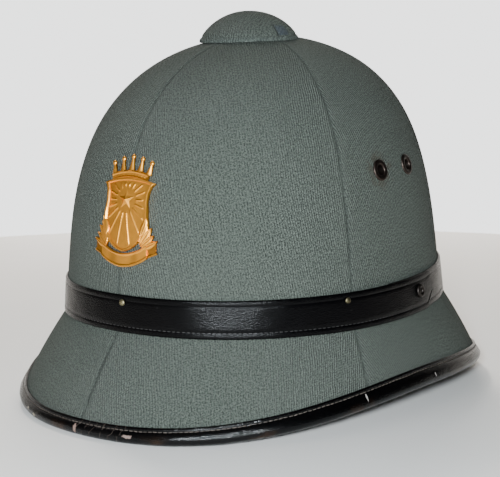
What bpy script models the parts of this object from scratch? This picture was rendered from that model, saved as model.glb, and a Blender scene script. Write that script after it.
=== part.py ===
"""A cloth-covered police helmet: six crown gores, six brim panels, a leather band and binding,
a covered top button, vent eyelets, band fastenings and a gilt badge.

Metres, +Z up. The front faces -Y and +X is the wearer's left. The origin lies on the surface
that the rim rests on, under the middle of the rim.
"""
import math

import bmesh
import bpy
import numpy as np

# Crown: an oval dome that leans a little and is fuller at its shoulder than an ellipse
CROWN_LENGTH = 0.2149
CROWN_WIDTH = 0.1846
CROWN_RISE = 0.1381
CROWN_TAPER = 0.126
CROWN_SQUARENESS = 2.10
DOME_SHOULDER = 3.94
DOME_ROUNDNESS = 2.13
SEAT_HEIGHT = 0.0472
SEAT_DIP = 0.0011
SEAT_TILT = math.radians(1.8)
TOP_TILT = math.radians(2.8)
MID_FORWARD = 0.0017
TOP_FORWARD = 0.0013
SHELL_WALL = 0.0030

# Brim: reaches out from the band's lower edge to the middle of the rim's rolled edge
FRONT_REACH = 0.0254
REAR_REACH = 0.0260
SIDE_REACH = 0.0140
BRIM_BULGE = 0.0010
RIM_SQUARENESS = 2.15
SIDE_LIFT = 0.0136
LIFT_FRONT = 3.9
LIFT_REAR = 2.0

# Seams, as angles round the head from the front
SEAM_FRONT = 0.0
SEAM_SIDE = math.radians(70.6)
SEAM_REAR = math.radians(117.5)
SEAM_BACK = math.pi
FIT_GAP = 0.0003

# Rim binding: leather folded over the brim's edge with a rolled bead
BINDING_LEATHER = 0.0011
BINDING_FRONT = 0.0071
BINDING_SIDE = 0.0098
BEAD_RADIUS = 0.0034
BEAD_NECK = 0.6
BEAD_TURNS = (62, 36, 12, -12, -36, -62)
EDGE_TUCK = 0.0018

# Hat band: one strap whose pointed end laps over its start
BAND_HEIGHT = 0.0181
BAND_LEATHER = 0.0010
BAND_EDGE = 0.0004
BAND_CREASE_DROP = 0.0028
BAND_CREASE_DEPTH = 0.0004
BAND_START = math.radians(84.0)
BAND_STEP_FROM = math.radians(52.0)
BAND_STEP_TO = math.radians(76.0)
TIP_LOWER = math.radians(101.7)
TIP_UPPER = math.radians(104.8)
TIP_POINT = math.radians(106.4)
STUD_ANGLE = math.radians(97.3)
STUD_UP = 0.57
STUD_RADIUS = 0.0035
STUD_RISE = 0.0011
PIN_RADIUS = 0.0016
PIN_RISE = 0.0009
PIN_DROP = 0.0036
PIN_ANGLES = {
    "front": math.radians(2.6),
    "left": math.radians(67.9),
    "right": math.radians(-67.9),
    "rear": math.radians(180.0),
}

# Vent eyelets, two in each side gore
EYELET_RADIUS = 0.00535
EYELET_BORE = 0.00275
EYELET_BARREL = 0.0006
EYELET_FLANGE = 0.0009
EYELET_LEVEL = 0.524
EYELET_ANGLES = {"front": math.radians(86.6), "rear": math.radians(102.0)}

# Top button
BUTTON_RADIUS = 0.0257
BUTTON_RISE = 0.0155
BUTTON_SINK = 0.0027
BUTTON_FORWARD = 0.0058
BUTTON_FULLNESS = 1.5
STEM_RADIUS = 0.0057
STEM_SHARE = 0.3

# Badge, centred on a point of the front and following the crown's curve
BADGE_WIDTH = 0.0384
BADGE_HEIGHT = 0.0530
BADGE_PLATE = 0.0012
BADGE_RELIEF = 0.0009
BADGE_LEVEL = 0.420
BADGE_SIDE = 0.0029
BADGE_TURN = math.radians(1.4)

# Badge pieces: widths and reaches as shares of the badge's width, heights of its height
OVERLAP = 0.0005
BADGE_STAGGER = 0.00015
SHIELD_WIDTH = 0.80
SHIELD_TOP = 0.295
SHIELD_FOOT = -0.360
SHIELD_ARCH = 0.050
SHIELD_LIP = 0.10
STAR_UP = 0.10
STAR_REACH = 0.13
RAY_COUNT = 18
RAY_WIDTH = 0.022
CIRCLET_WIDTH = 0.53
CIRCLET_HEIGHT = 0.075
CIRCLET_ARCH = 0.035
POINT_HEIGHT = 0.124
BALL_WIDTH = 0.060
RIBBON_WIDTH = 0.72
RIBBON_HEIGHT = 0.125
RIBBON_CURVE = 0.085
RIBBON_NOTCH = 0.045
RIBBON_RISE = 0.055

# Mesh steps
GORE_ROWS = 14
BRIM_ROWS = 4
COLUMN_ANGLE = math.radians(7.8)
DERIVATIVE_STEP = 1e-4


def unit(vectors):
    """Vectors scaled to length one, along the last axis."""
    return vectors / np.linalg.norm(vectors, axis=-1, keepdims=True)


def oval(angle, squareness):
    """Distance factor of a rounded oval at an angle from the front: 2 gives an ellipse."""
    reach = np.abs(np.cos(angle)) ** squareness + np.abs(np.sin(angle)) ** squareness
    return reach ** (-1.0 / squareness)


def dome_width(level):
    """Width of the crown at a level from 0 to 1, as a share of its width at the band."""
    inside = np.clip(level, 0.0, 1.0)
    cap = (1.0 - inside ** DOME_SHOULDER) ** (1.0 / DOME_ROUNDNESS)
    return (1.0 - CROWN_TAPER * inside) * cap


def crown_surface(angle, level):
    """Outer cloth of the crown: an oval at each level, narrowed by the dome, tilted and slid."""
    angle, level = np.broadcast_arrays(angle, level)
    factor = oval(angle, CROWN_SQUARENESS) * dome_width(level)
    x = CROWN_WIDTH / 2 * factor * np.sin(angle)
    along = -CROWN_LENGTH / 2 * factor * np.cos(angle)
    tilt = SEAT_TILT + (TOP_TILT - SEAT_TILT) * level
    middle = (FRONT_REACH - REAR_REACH) / 2
    middle = middle - TOP_FORWARD * level - MID_FORWARD * 4 * level * (1 - level)
    height = SEAT_HEIGHT + CROWN_RISE * level + SEAT_DIP * np.cos(2 * angle) * (1 - level)
    return np.stack([x, middle + along * np.cos(tilt), height + along * np.sin(tilt)], -1)


def bead_line(angle):
    """Middle of the rim's rolled edge: an oval that lifts off the table at the sides."""
    angle = np.asarray(angle, float)
    factor = oval(angle, RIM_SQUARENESS)
    half_length = (CROWN_LENGTH * math.cos(SEAT_TILT) + FRONT_REACH + REAR_REACH) / 2
    x = (CROWN_WIDTH / 2 + SIDE_REACH) * factor * np.sin(angle)
    y = -half_length * factor * np.cos(angle)
    sharpness = np.where(np.cos(angle) > 0, LIFT_FRONT, LIFT_REAR)
    z = BEAD_RADIUS + SIDE_LIFT * np.abs(np.sin(angle)) ** sharpness
    return np.stack([x, y, z], -1)


def rim_axes(angle):
    """At the rim: the direction down the brim's slope and the direction out of its face."""
    step = DERIVATIVE_STEP
    down = unit(bead_line(angle) - crown_surface(angle, 0.0))
    around = unit(bead_line(angle + step) - bead_line(angle - step))
    out = unit(np.cross(down, around))
    return unit(down - around * np.sum(down * around, -1, keepdims=True)), out


def brim_surface(angle, share):
    """Outer cloth of the brim, from the crown's foot (0) to the rim's edge (1)."""
    angle, share = np.broadcast_arrays(np.asarray(angle, float), share)
    foot = crown_surface(angle, np.zeros_like(angle))
    edge = bead_line(angle) + rim_axes(angle)[1] * (SHELL_WALL / 2)
    flat = foot * (1.0, 1.0, 0.0)
    bulge = unit(flat) * (BRIM_BULGE * 4 * share * (1 - share))[..., None]
    return foot + (edge - foot) * share[..., None] + bulge


def outward(surface, angle, along):
    """Unit normal of a surface of two parameters, pointing out of the helmet."""
    step = DERIVATIVE_STEP
    angle, along = np.broadcast_arrays(angle, along)
    across = surface(angle + step, along) - surface(angle - step, along)
    down = surface(angle, along + step) - surface(angle, along - step)
    return unit(np.cross(across, down)) * (1.0 if surface is crown_surface else -1.0)


def sideways(surface, angle, along):
    """Unit direction in which the angle round the head grows."""
    step = DERIVATIVE_STEP
    return unit(surface(angle + step, along) - surface(angle - step, along))


def foot_offset(angle):
    """Mitred way through the wall where the crown's wall turns into the brim's."""
    crown = outward(crown_surface, angle, np.zeros_like(angle))
    brim = outward(brim_surface, angle, np.zeros_like(angle))
    return (crown + brim) / (1.0 + np.sum(crown * brim, -1, keepdims=True))


def crown_levels():
    """Levels from the crown's foot to the vent hole, at even steps along the profile."""
    turn = np.linspace(0.0, math.pi / 2, 400)
    level = np.sin(turn) ** (2.0 / DOME_SHOULDER)
    width = dome_width(level) * CROWN_WIDTH / 2
    top = np.interp(-(STEM_RADIUS + FIT_GAP), -width, level)
    inside = level < top
    level = np.append(level[inside], top)
    width = np.append(width[inside], STEM_RADIUS + FIT_GAP)
    steps = np.hypot(np.diff(width), np.diff(level * CROWN_RISE))
    length = np.append(0.0, np.cumsum(steps))
    return np.interp(np.linspace(0.0, length[-1], GORE_ROWS + 1), length, level)


def material(name, colour, roughness, metallic=0.0):
    """A Principled material with one colour, roughness and metallic value."""
    made = bpy.data.materials.new(name)
    made.use_nodes = True
    shader = made.node_tree.nodes["Principled BSDF"]
    shader.inputs["Base Color"].default_value = (*colour, 1.0)
    shader.inputs["Roughness"].default_value = roughness
    shader.inputs["Metallic"].default_value = metallic
    made.diffuse_color = (*colour, 1.0)
    return made


def new_object(name, points, faces, finish=None):
    """An object from points and faces, its faces turned outwards and shaded smooth."""
    mesh = bpy.data.meshes.new(name)
    mesh.from_pydata([tuple(point) for point in points], [], faces)
    shape = bmesh.new()
    shape.from_mesh(mesh)
    bmesh.ops.recalc_face_normals(shape, faces=shape.faces)
    shape.to_mesh(mesh)
    shape.free()
    mesh.shade_smooth()
    mesh.set_sharp_from_angle(angle=math.radians(40))
    made = bpy.data.objects.new(name, mesh)
    bpy.context.scene.collection.objects.link(made)
    if finish:
        mesh.materials.append(finish)
    return made


def strip_faces(first, second, closed=False):
    """Quads between two rows of point numbers of the same length."""
    count = len(first)
    last = count if closed else count - 1
    return [(first[i], first[(i + 1) % count], second[(i + 1) % count], second[i])
            for i in range(last)]


def slab(name, outer, inner, finish=None):
    """A closed wall between two grids of points of the same size."""
    rows, columns = outer.shape[:2]
    front = np.arange(rows * columns).reshape(rows, columns)
    back = front + rows * columns
    faces = []
    for grid in (front, back):
        for row in range(rows - 1):
            faces += strip_faces(grid[row], grid[row + 1])
    for line in (np.s_[0, :], np.s_[-1, :], np.s_[:, 0], np.s_[:, -1]):
        faces += strip_faces(front[line], back[line])
    faces = [tuple(int(point) for point in face) for face in faces]
    points = np.concatenate([outer.reshape(-1, 3), inner.reshape(-1, 3)])
    return new_object(name, points, faces, finish)


def sweep(name, sections, finish=None, loop=False):
    """A solid through a row of closed sections, joined end to end or capped."""
    count, corners = sections.shape[:2]
    index = np.arange(count * corners).reshape(count, corners)
    faces = []
    for step in range(count if loop else count - 1):
        faces += strip_faces(index[step], index[(step + 1) % count], closed=True)
    if not loop:
        faces += [tuple(index[0]), tuple(index[-1])]
    faces = [tuple(int(point) for point in face) for face in faces]
    return new_object(name, sections.reshape(-1, 3), faces, finish)


def turned(name, profile, centre, axis, sides, finish=None):
    """A profile of (radius, height) turned about an axis; radius 0 at both ends closes it."""
    axis = unit(np.asarray(axis, float))
    helper = np.array([0.0, 0.0, 1.0]) if abs(axis[2]) < 0.9 else np.array([0.0, 1.0, 0.0])
    right = unit(np.cross(helper, axis))
    ahead = np.cross(axis, right)
    ring = np.arange(sides) * (2 * math.pi / sides)
    spokes = np.cos(ring)[:, None] * right + np.sin(ring)[:, None] * ahead
    points, rows = [], []
    for radius, height in profile:
        base = np.asarray(centre) + axis * height
        if radius == 0.0:
            rows.append([len(points)] * sides)
            points.append(base)
        else:
            rows.append(list(range(len(points), len(points) + sides)))
            points.extend(base + radius * spokes)
    closed_ring = all(radius > 0.0 for radius, _ in profile)
    faces = []
    for step in range(len(rows) if closed_ring else len(rows) - 1):
        for quad in strip_faces(rows[step], rows[(step + 1) % len(rows)], closed=True):
            faces.append(tuple(dict.fromkeys(quad)))
    return new_object(name, points, faces, finish)


def boolean(target, operation, tool):
    """A Boolean on target; the tool stays in the file as a wire guide."""
    tool.hide_render = True
    tool.display_type = "WIRE"
    cut = target.modifiers.new(tool.name, "BOOLEAN")
    cut.operation = operation
    cut.solver = "EXACT"
    cut.object = tool


def panel_angles(start, end):
    """Angles across a panel, a seam at each end."""
    count = max(3, round((end - start) / COLUMN_ANGLE))
    return np.linspace(start, end, count + 1)


def open_seams(grid, surface, angles, along):
    """Draws a panel's two side edges back from its seams by half the gap."""
    grid[0] += sideways(surface, angles[0], along) * FIT_GAP / 2
    grid[-1] -= sideways(surface, angles[-1], along) * FIT_GAP / 2


def crown_gore(name, start, end, finish):
    """One gore of the crown, from the band's lower edge to the vent hole."""
    angles, levels = panel_angles(start, end), crown_levels()
    outer = crown_surface(angles[:, None], levels[None, :])
    inner = outer - SHELL_WALL * outward(crown_surface, angles[:, None], levels[None, :])
    inner[:, 0] = outer[:, 0] - SHELL_WALL * foot_offset(angles)
    for grid in (outer, inner):
        open_seams(grid, crown_surface, angles, levels)
        grid[:, 0, 2] += FIT_GAP / 2
    return slab(name, outer, inner, finish)


def brim_panel(name, start, end, finish):
    """One panel of the brim, from the crown's foot down into the binding's fold."""
    angles = panel_angles(start, end)
    shares = np.linspace(0.0, 1.0, BRIM_ROWS + 1)
    outer = brim_surface(angles[:, None], shares[None, :])
    faces_out = outward(brim_surface, angles[:, None], shares[None, :])
    faces_out[:, -1] = rim_axes(angles)[1]
    inner = outer - SHELL_WALL * faces_out
    inner[:, 0] = outer[:, 0] - SHELL_WALL * foot_offset(angles)
    for grid in (outer, inner):
        grid[:, -1] += rim_axes(angles)[0] * EDGE_TUCK
        open_seams(grid, brim_surface, angles, shares)
        grid[:, 0, 2] -= FIT_GAP / 2
    return slab(name, outer, inner, finish)


def ring_angles():
    """Angles right round the head that pass through every seam."""
    half = [panel_angles(*pair)[:-1] for pair in
            ((SEAM_FRONT, SEAM_SIDE), (SEAM_SIDE, SEAM_REAR), (SEAM_REAR, SEAM_BACK))]
    half = np.concatenate(half)
    return np.concatenate([half, [SEAM_BACK], 2 * math.pi - half[:0:-1]])


def rim_binding(finish):
    """Leather folded over the rim: a flange on each face and a rolled bead below."""
    angles = ring_angles()
    down, out = rim_axes(angles)
    inner_face = SHELL_WALL / 2 + FIT_GAP
    outer_face = inner_face + BINDING_LEATHER
    depth = BINDING_FRONT + (BINDING_SIDE - BINDING_FRONT) * np.sin(angles) ** 2
    flange = (BEAD_RADIUS - depth)[:, None]
    fold = EDGE_TUCK + FIT_GAP
    neck = -BEAD_NECK * BEAD_RADIUS
    bead = [math.radians(turn) for turn in BEAD_TURNS]
    section = [(flange, inner_face), (flange, outer_face), (neck, outer_face)]
    section += [(BEAD_RADIUS * math.cos(turn), BEAD_RADIUS * math.sin(turn)) for turn in bead]
    section += [(neck, -outer_face), (flange, -outer_face), (flange, -inner_face)]
    section += [(fold, -inner_face), (fold, inner_face)]
    corners = [bead_line(angles) + down * along + out * off for along, off in section]
    return sweep("rim_binding", np.stack(corners, 1), finish, loop=True)


def band_point(angle, height, off):
    """A point at a height above the band's lower edge, off the crown's cloth."""
    angle, level = np.asarray(angle, float), np.asarray(height, float) / CROWN_RISE
    return crown_surface(angle, level) + outward(crown_surface, angle, level) * off[..., None]


def band_lift(turn):
    """How far the strap's back stands off the cloth at an angle along its whole wound length."""
    rise = np.clip((turn - 2 * math.pi - BAND_STEP_FROM) / (BAND_STEP_TO - BAND_STEP_FROM), 0, 1)
    rise = rise * rise * (3 - 2 * rise)
    return FIT_GAP + (BAND_LEATHER + FIT_GAP) * rise


def hat_band(finish):
    """The strap: it starts under its own end, runs once round and ends in a point."""
    ring = ring_angles()
    full = 2 * math.pi
    inside = [angle for angle in np.concatenate([ring, ring + full])
              if BAND_START + 0.02 < angle < full + TIP_LOWER - 0.02]
    tip = [TIP_LOWER, TIP_UPPER, TIP_POINT]
    turn = np.array([BAND_START] + inside + [full + angle for angle in tip])
    low = np.interp(turn, [full + TIP_LOWER, full + TIP_POINT], [0.0, 0.44]) * BAND_HEIGHT
    high = np.interp(turn, [full + TIP_UPPER, full + TIP_POINT], [1.0, 0.52]) * BAND_HEIGHT
    back = band_lift(turn)
    face = back + BAND_LEATHER
    edge = BAND_EDGE / BAND_HEIGHT
    wide = BAND_CREASE_DEPTH / BAND_HEIGHT
    crease = 1 - BAND_CREASE_DROP / BAND_HEIGHT

    def at(share, off):
        return band_point(turn, low + share * (high - low), off)

    corners = [at(0, back), at(0, face - BAND_EDGE), at(edge, face), at(crease - wide, face),
               at(crease, face - BAND_CREASE_DEPTH), at(crease + wide, face),
               at(1 - edge, face), at(1, face - BAND_EDGE), at(1, back)]
    return sweep("hat_band", np.stack(corners, 1), finish)


def band_seat(turn, height):
    """Middle and outward direction for a fastening that sits on the strap's face."""
    off = np.asarray(band_lift(turn) + BAND_LEATHER + FIT_GAP)
    level = height / CROWN_RISE
    return band_point(turn, height, off), outward(crown_surface, np.asarray(turn), level)


def band_stud(finish):
    """The ring-shaped stud that holds the strap's lapped end."""
    seat, axis = band_seat(STUD_ANGLE + 2 * math.pi, STUD_UP * BAND_HEIGHT)
    profile = [(0.0, 0.0), (STUD_RADIUS, 0.0), (STUD_RADIUS, 0.35 * STUD_RISE),
               (0.80 * STUD_RADIUS, STUD_RISE), (0.55 * STUD_RADIUS, STUD_RISE),
               (0.38 * STUD_RADIUS, 0.45 * STUD_RISE), (0.0, 0.45 * STUD_RISE)]
    return turned("band_stud", profile, seat, axis, 16, finish)


def band_pin(place, finish):
    """A small domed pin near the strap's upper edge."""
    angle = PIN_ANGLES[place] % (2 * math.pi)
    if angle < BAND_START:
        angle += 2 * math.pi
    seat, axis = band_seat(angle, BAND_HEIGHT - PIN_DROP)
    profile = [(0.0, 0.0), (PIN_RADIUS, 0.0), (0.87 * PIN_RADIUS, 0.5 * PIN_RISE),
               (0.5 * PIN_RADIUS, 0.87 * PIN_RISE), (0.0, PIN_RISE)]
    return turned("band_pin_" + place, profile, seat, axis, 10, finish)


def eyelet(name, angle, gore, finish):
    """A flanged metal eyelet through a gore, and the round hole it sits in."""
    seat = crown_surface(angle, EYELET_LEVEL)
    axis = outward(crown_surface, np.asarray(angle), EYELET_LEVEL)
    barrel = EYELET_BORE + EYELET_BARREL
    hole = barrel + FIT_GAP
    under = FIT_GAP * 1.3
    back = -SHELL_WALL - FIT_GAP * 1.5
    inner_radius = 0.86 * EYELET_RADIUS
    profile = [(EYELET_BORE, under), (barrel, under + EYELET_FLANGE),
               (0.82 * EYELET_RADIUS, under + EYELET_FLANGE),
               (EYELET_RADIUS, under + 0.3 * EYELET_FLANGE), (EYELET_RADIUS, under),
               (barrel, under), (barrel, back), (inner_radius, back),
               (inner_radius, back - 0.5 * EYELET_FLANGE), (EYELET_BORE, back - 0.5 * EYELET_FLANGE)]
    turned("eyelet_" + name, profile, seat, axis, 16, finish)
    reach = 3 * SHELL_WALL
    drill = [(0.0, -reach), (hole, -reach), (hole, reach), (0.0, reach)]
    boolean(gore, "DIFFERENCE", turned("drill_" + name, drill, seat, axis, 16))


def button_frame():
    """Middle of the button's foot and the direction of its axis."""
    apex = crown_surface(0.0, 1.0)
    axis = np.array([0.0, -math.sin(TOP_TILT), math.cos(TOP_TILT)])
    ahead = np.array([0.0, -math.cos(TOP_TILT), -math.sin(TOP_TILT)])
    return apex + ahead * BUTTON_FORWARD - axis * BUTTON_SINK, axis


def top_button(finish):
    """The covered button: a low dome cut to the crown where it meets it, on a hidden stem."""
    foot, axis = button_frame()
    heights = np.sin(np.linspace(0.0, math.pi / 2, 8)) * BUTTON_RISE
    radii = BUTTON_RADIUS * np.sqrt(1.0 - (heights / BUTTON_RISE) ** BUTTON_FULLNESS)
    profile = [(0.0, 0.0)]
    profile += [(float(r), float(h)) for r, h in zip(radii[:-1], heights[:-1])]
    profile += [(0.0, BUTTON_RISE)]
    button = turned("top_button", profile, foot, axis, 36, finish)
    levels = np.append(np.linspace(0.80, 0.96, 5), [0.985, 0.995, 0.999])
    angles = np.linspace(0.0, 2 * math.pi, 48, endpoint=False)
    dome = crown_surface(angles[:, None], levels[None, :]) + (0.0, 0.0, 1.3 * FIT_GAP)
    rows = [len(levels) * step + np.arange(len(levels)) for step in range(len(angles))]
    faces = []
    for step, row in enumerate(rows):
        faces += strip_faces(row, rows[(step + 1) % len(rows)])
    faces = [tuple(int(point) for point in face) for face in faces]
    faces += [tuple(int(row[0]) for row in rows), tuple(int(row[-1]) for row in rows)]
    boolean(button, "DIFFERENCE", new_object("crown_cutter", dome.reshape(-1, 3), faces))
    apex = crown_surface(0.0, 1.0)
    head = STEM_SHARE * BUTTON_RISE
    stem = [(0.0, -SHELL_WALL), (STEM_RADIUS, -SHELL_WALL), (STEM_RADIUS, head), (0.0, head)]
    boolean(button, "UNION", turned("button_stem", stem, apex, axis, 16))
    return button


def badge_place(x, y, z):
    """Badge coordinates (across, up, off the back) laid on the crown's front."""
    x, y, z = np.broadcast_arrays(np.asarray(x, float), y, z)
    right = x * math.cos(BADGE_TURN) - y * math.sin(BADGE_TURN)
    up = x * math.sin(BADGE_TURN) + y * math.cos(BADGE_TURN)
    step = DERIVATIVE_STEP
    rise = crown_surface(0.0, BADGE_LEVEL + step) - crown_surface(0.0, BADGE_LEVEL - step)
    level = BADGE_LEVEL + up * 2 * step / np.linalg.norm(rise)
    across = crown_surface(step, level) - crown_surface(-step, level)
    angle = (BADGE_SIDE + right) * 2 * step / np.linalg.norm(across, axis=-1)
    normal = outward(crown_surface, angle, level)
    return crown_surface(angle, level) + normal * (FIT_GAP + z)[..., None]


def badge_grid(name, x, y, z, back):
    """A badge piece with a relief face on a grid and a plain back."""
    return slab(name, badge_place(x, y, z), badge_place(x, y, back))


def badge_boss(name, outline, back, edge, peak):
    """A small raised badge piece: an outline with sloping facets up to its middle."""
    outline = np.asarray(outline, float)
    count = len(outline)
    middle = outline.mean(0)
    points = np.concatenate([badge_place(outline[:, 0], outline[:, 1], back),
                             badge_place(outline[:, 0], outline[:, 1], edge),
                             badge_place(middle[:1], middle[1:], peak)])
    lower, upper = list(range(count)), list(range(count, 2 * count))
    faces = strip_faces(lower, upper, closed=True) + [tuple(lower)]
    faces += [(upper[i], upper[(i + 1) % count], 2 * count) for i in range(count)]
    return new_object(name, points, faces)


# The shield's half width at heights from its tip to its top edge, both as shares of the whole
SHIELD_COLUMNS = ("up", "half_width")
SHIELD_TABLE = (
    (0.00, 0.05),
    (0.03, 0.27),
    (0.08, 0.45),
    (0.13, 0.57),
    (0.26, 0.76),
    (0.40, 0.86),
    (0.55, 0.85),
    (0.70, 0.80),
    (0.85, 0.83),
    (0.92, 0.88),
    (0.945, 0.90),
    (0.98, 0.96),
    (1.00, 1.00),
)


def shield_half_width(share):
    """Half the shield's width at a share of its height: round below, waisted, flared on top."""
    up, half = (np.array(column) for column in zip(*SHIELD_TABLE))
    return SHIELD_WIDTH * BADGE_WIDTH / 2 * np.interp(share, up, half)


def shield_field(x, y):
    """Height of the shield's domed field over its back."""
    half = SHIELD_WIDTH * BADGE_WIDTH / 2
    return BADGE_PLATE + 0.35 * BADGE_RELIEF * (1 - (x / half) ** 2)


def badge_shield():
    """The shield: a domed field inside a raised lip."""
    lip = SHIELD_LIP
    side = np.array([0.0, 0.45, 1 - 1.5 * lip, 1 - lip, 1 - 0.4 * lip, 1])
    across = np.concatenate([-side[:0:-1], side])
    up = np.array([row[SHIELD_COLUMNS.index("up")] for row in SHIELD_TABLE])
    lip_across = np.interp(np.abs(across), side[2:], [0, 1, 1, 0.6])
    lip_up = np.interp(up, [0.0, 0.03, 0.08, 0.13, 0.92, 0.945, 0.98, 1.0],
                       [0.6, 1, 1, 0, 0, 1, 1, 0.6])
    edge = np.interp(up, [0.0, 0.03, 0.98, 1.0], [0.6, 1.0, 1.0, 0.6])
    raised = np.maximum(lip_across[:, None], lip_up[None, :])
    raised = np.minimum(raised, np.minimum(1.0, edge[None, :]))
    raised[[0, -1], :] = 0.6
    half = shield_half_width(up)
    x = across[:, None] * half[None, :]
    arch = SHIELD_ARCH * across[:, None] ** 2 * up[None, :] ** 4
    y = (SHIELD_FOOT + (SHIELD_TOP - SHIELD_FOOT) * up[None, :] - arch) * BADGE_HEIGHT
    z = np.where(raised > 0, BADGE_PLATE + raised * BADGE_RELIEF, shield_field(x, y))
    return badge_grid("badge_shield", x, y, z, 0.0)


def badge_star():
    """A five-pointed star, and fine rays that spread from it over the field."""
    centre = STAR_UP * BADGE_HEIGHT
    reach = STAR_REACH * BADGE_WIDTH
    turns = np.arange(10) * math.pi / 5
    radii = np.where(np.arange(10) % 2 == 0, reach, 0.42 * reach)
    outline = np.stack([radii * np.sin(turns), centre + radii * np.cos(turns)], 1)
    top = BADGE_PLATE + 0.35 * BADGE_RELIEF
    pieces = [badge_boss("badge_star", outline, 0.6 * BADGE_PLATE, top, top + 0.9 * BADGE_RELIEF)]
    lengths = np.linspace(0.0, BADGE_HEIGHT, 200)
    for index in range(RAY_COUNT):
        turn = (index + 0.5) * 2 * math.pi / RAY_COUNT
        x, y = lengths * math.sin(turn), centre + lengths * math.cos(turn)
        arch = SHIELD_ARCH * (x / (SHIELD_WIDTH * BADGE_WIDTH / 2)) ** 2
        share = (y / BADGE_HEIGHT + arch - SHIELD_FOOT) / (SHIELD_TOP - SHIELD_FOOT)
        room = (1 - 1.5 * SHIELD_LIP) * shield_half_width(np.clip(share, 0, 1)) - np.abs(x)
        clear = (room > 0.02 * BADGE_WIDTH) & (share > 0.15) & (share < 0.91)
        end = lengths[clear].max()
        start = 1.12 * reach
        if end < 1.6 * reach:
            continue
        wide = RAY_WIDTH * BADGE_WIDTH / 2
        stops = ((start, 0), (0.7 * end, wide), (end, 0.35 * wide), (end, -0.35 * wide),
                 (0.7 * end, -wide))
        ray = [(along * math.sin(turn) + side * math.cos(turn),
                centre + along * math.cos(turn) - side * math.sin(turn)) for along, side in stops]
        low = BADGE_PLATE + 0.10 * BADGE_RELIEF
        pieces.append(badge_boss(f"badge_ray_{index}", ray, 0.5 * BADGE_PLATE, low,
                                 BADGE_PLATE + 0.75 * BADGE_RELIEF))
    return pieces


def badge_coronet():
    """A plain coronet over the shield: a circlet with five ball-topped points."""
    half = CIRCLET_WIDTH * BADGE_WIDTH / 2
    tall = CIRCLET_HEIGHT * BADGE_HEIGHT
    low = SHIELD_TOP * BADGE_HEIGHT - OVERLAP
    across = np.linspace(-1.0, 1.0, 9)
    up = np.array([0.0, 0.2, 0.4, 0.6, 0.8, 1.0])
    raised = np.array([0.5, 0.95, 0.5, 0.5, 0.95, 0.5])
    x = half * across[:, None] * (1 + 0.10 * up[None, :])
    y = low + tall * up[None, :] - CIRCLET_ARCH * BADGE_HEIGHT * across[:, None] ** 2
    z = BADGE_PLATE + BADGE_RELIEF * raised[None, :] + 0 * x
    pieces = [badge_grid("badge_circlet", x, y, z, BADGE_STAGGER)]
    for index, side in enumerate((-1.0, -0.5, 0.0, 0.5, 1.0)):
        foot = low + tall - CIRCLET_ARCH * BADGE_HEIGHT * side ** 2 - OVERLAP
        rise = (POINT_HEIGHT - 0.022 * abs(side)) * BADGE_HEIGHT
        middle = half * side
        lean = 0.25 * side * rise
        wide = 0.20 * half
        point = [(middle - wide, foot), (middle + wide, foot),
                 (middle + 0.35 * wide + lean, foot + 0.88 * rise),
                 (middle - 0.35 * wide + lean, foot + 0.88 * rise)]
        pieces.append(badge_boss(f"badge_point_{index}", point, 2 * BADGE_STAGGER,
                                 0.8 * BADGE_PLATE, BADGE_PLATE + 0.5 * BADGE_RELIEF))
        ball = BALL_WIDTH * BADGE_WIDTH / 2
        turns = (np.arange(8) + 0.5) * math.pi / 4
        outline = np.stack([middle + lean + ball * np.cos(turns),
                            foot + rise + ball * np.sin(turns)], 1)
        pieces.append(badge_boss(f"badge_ball_{index}", outline, 3 * BADGE_STAGGER, BADGE_PLATE,
                                 BADGE_PLATE + BADGE_RELIEF))
    return pieces


# Leaves on the wearer's left: places as shares of the badge's width and height, turn in degrees
LEAF_COLUMNS = ("across", "up", "turn", "length")
LEAF_TABLE = (
    (0.280, -0.330, 66, 0.240),
    (0.270, -0.310, 51, 0.230),
    (0.260, -0.290, 36, 0.256),
    (0.250, -0.270, 25, 0.260),
    (0.270, -0.220, 18, 0.245),
)


def badge_leaves():
    """Two sprays of pointed leaves that climb beside the shield."""
    pieces = []
    shape = ((0.0, 0.0), (0.30, 0.20), (0.65, 0.17), (1.0, 0.0), (0.65, -0.17), (0.30, -0.20))
    for side in (1, -1):
        for index, row in enumerate(LEAF_TABLE):
            leaf = dict(zip(LEAF_COLUMNS, row))
            turn = math.radians(leaf["turn"])
            long = leaf["length"] * BADGE_WIDTH
            outline = []
            for along, off in shape:
                x = leaf["across"] * BADGE_WIDTH
                x += long * (along * math.sin(turn) + off * math.cos(turn))
                y = leaf["up"] * BADGE_HEIGHT
                y += long * (along * math.cos(turn) - off * math.sin(turn))
                outline.append((side * x, y))
            name = f"badge_leaf_{'left' if side > 0 else 'right'}_{index}"
            pieces.append(badge_boss(name, outline, (index + 2.3) * BADGE_STAGGER,
                                     0.85 * BADGE_PLATE, BADGE_PLATE + 0.6 * BADGE_RELIEF))
    return pieces


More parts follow.
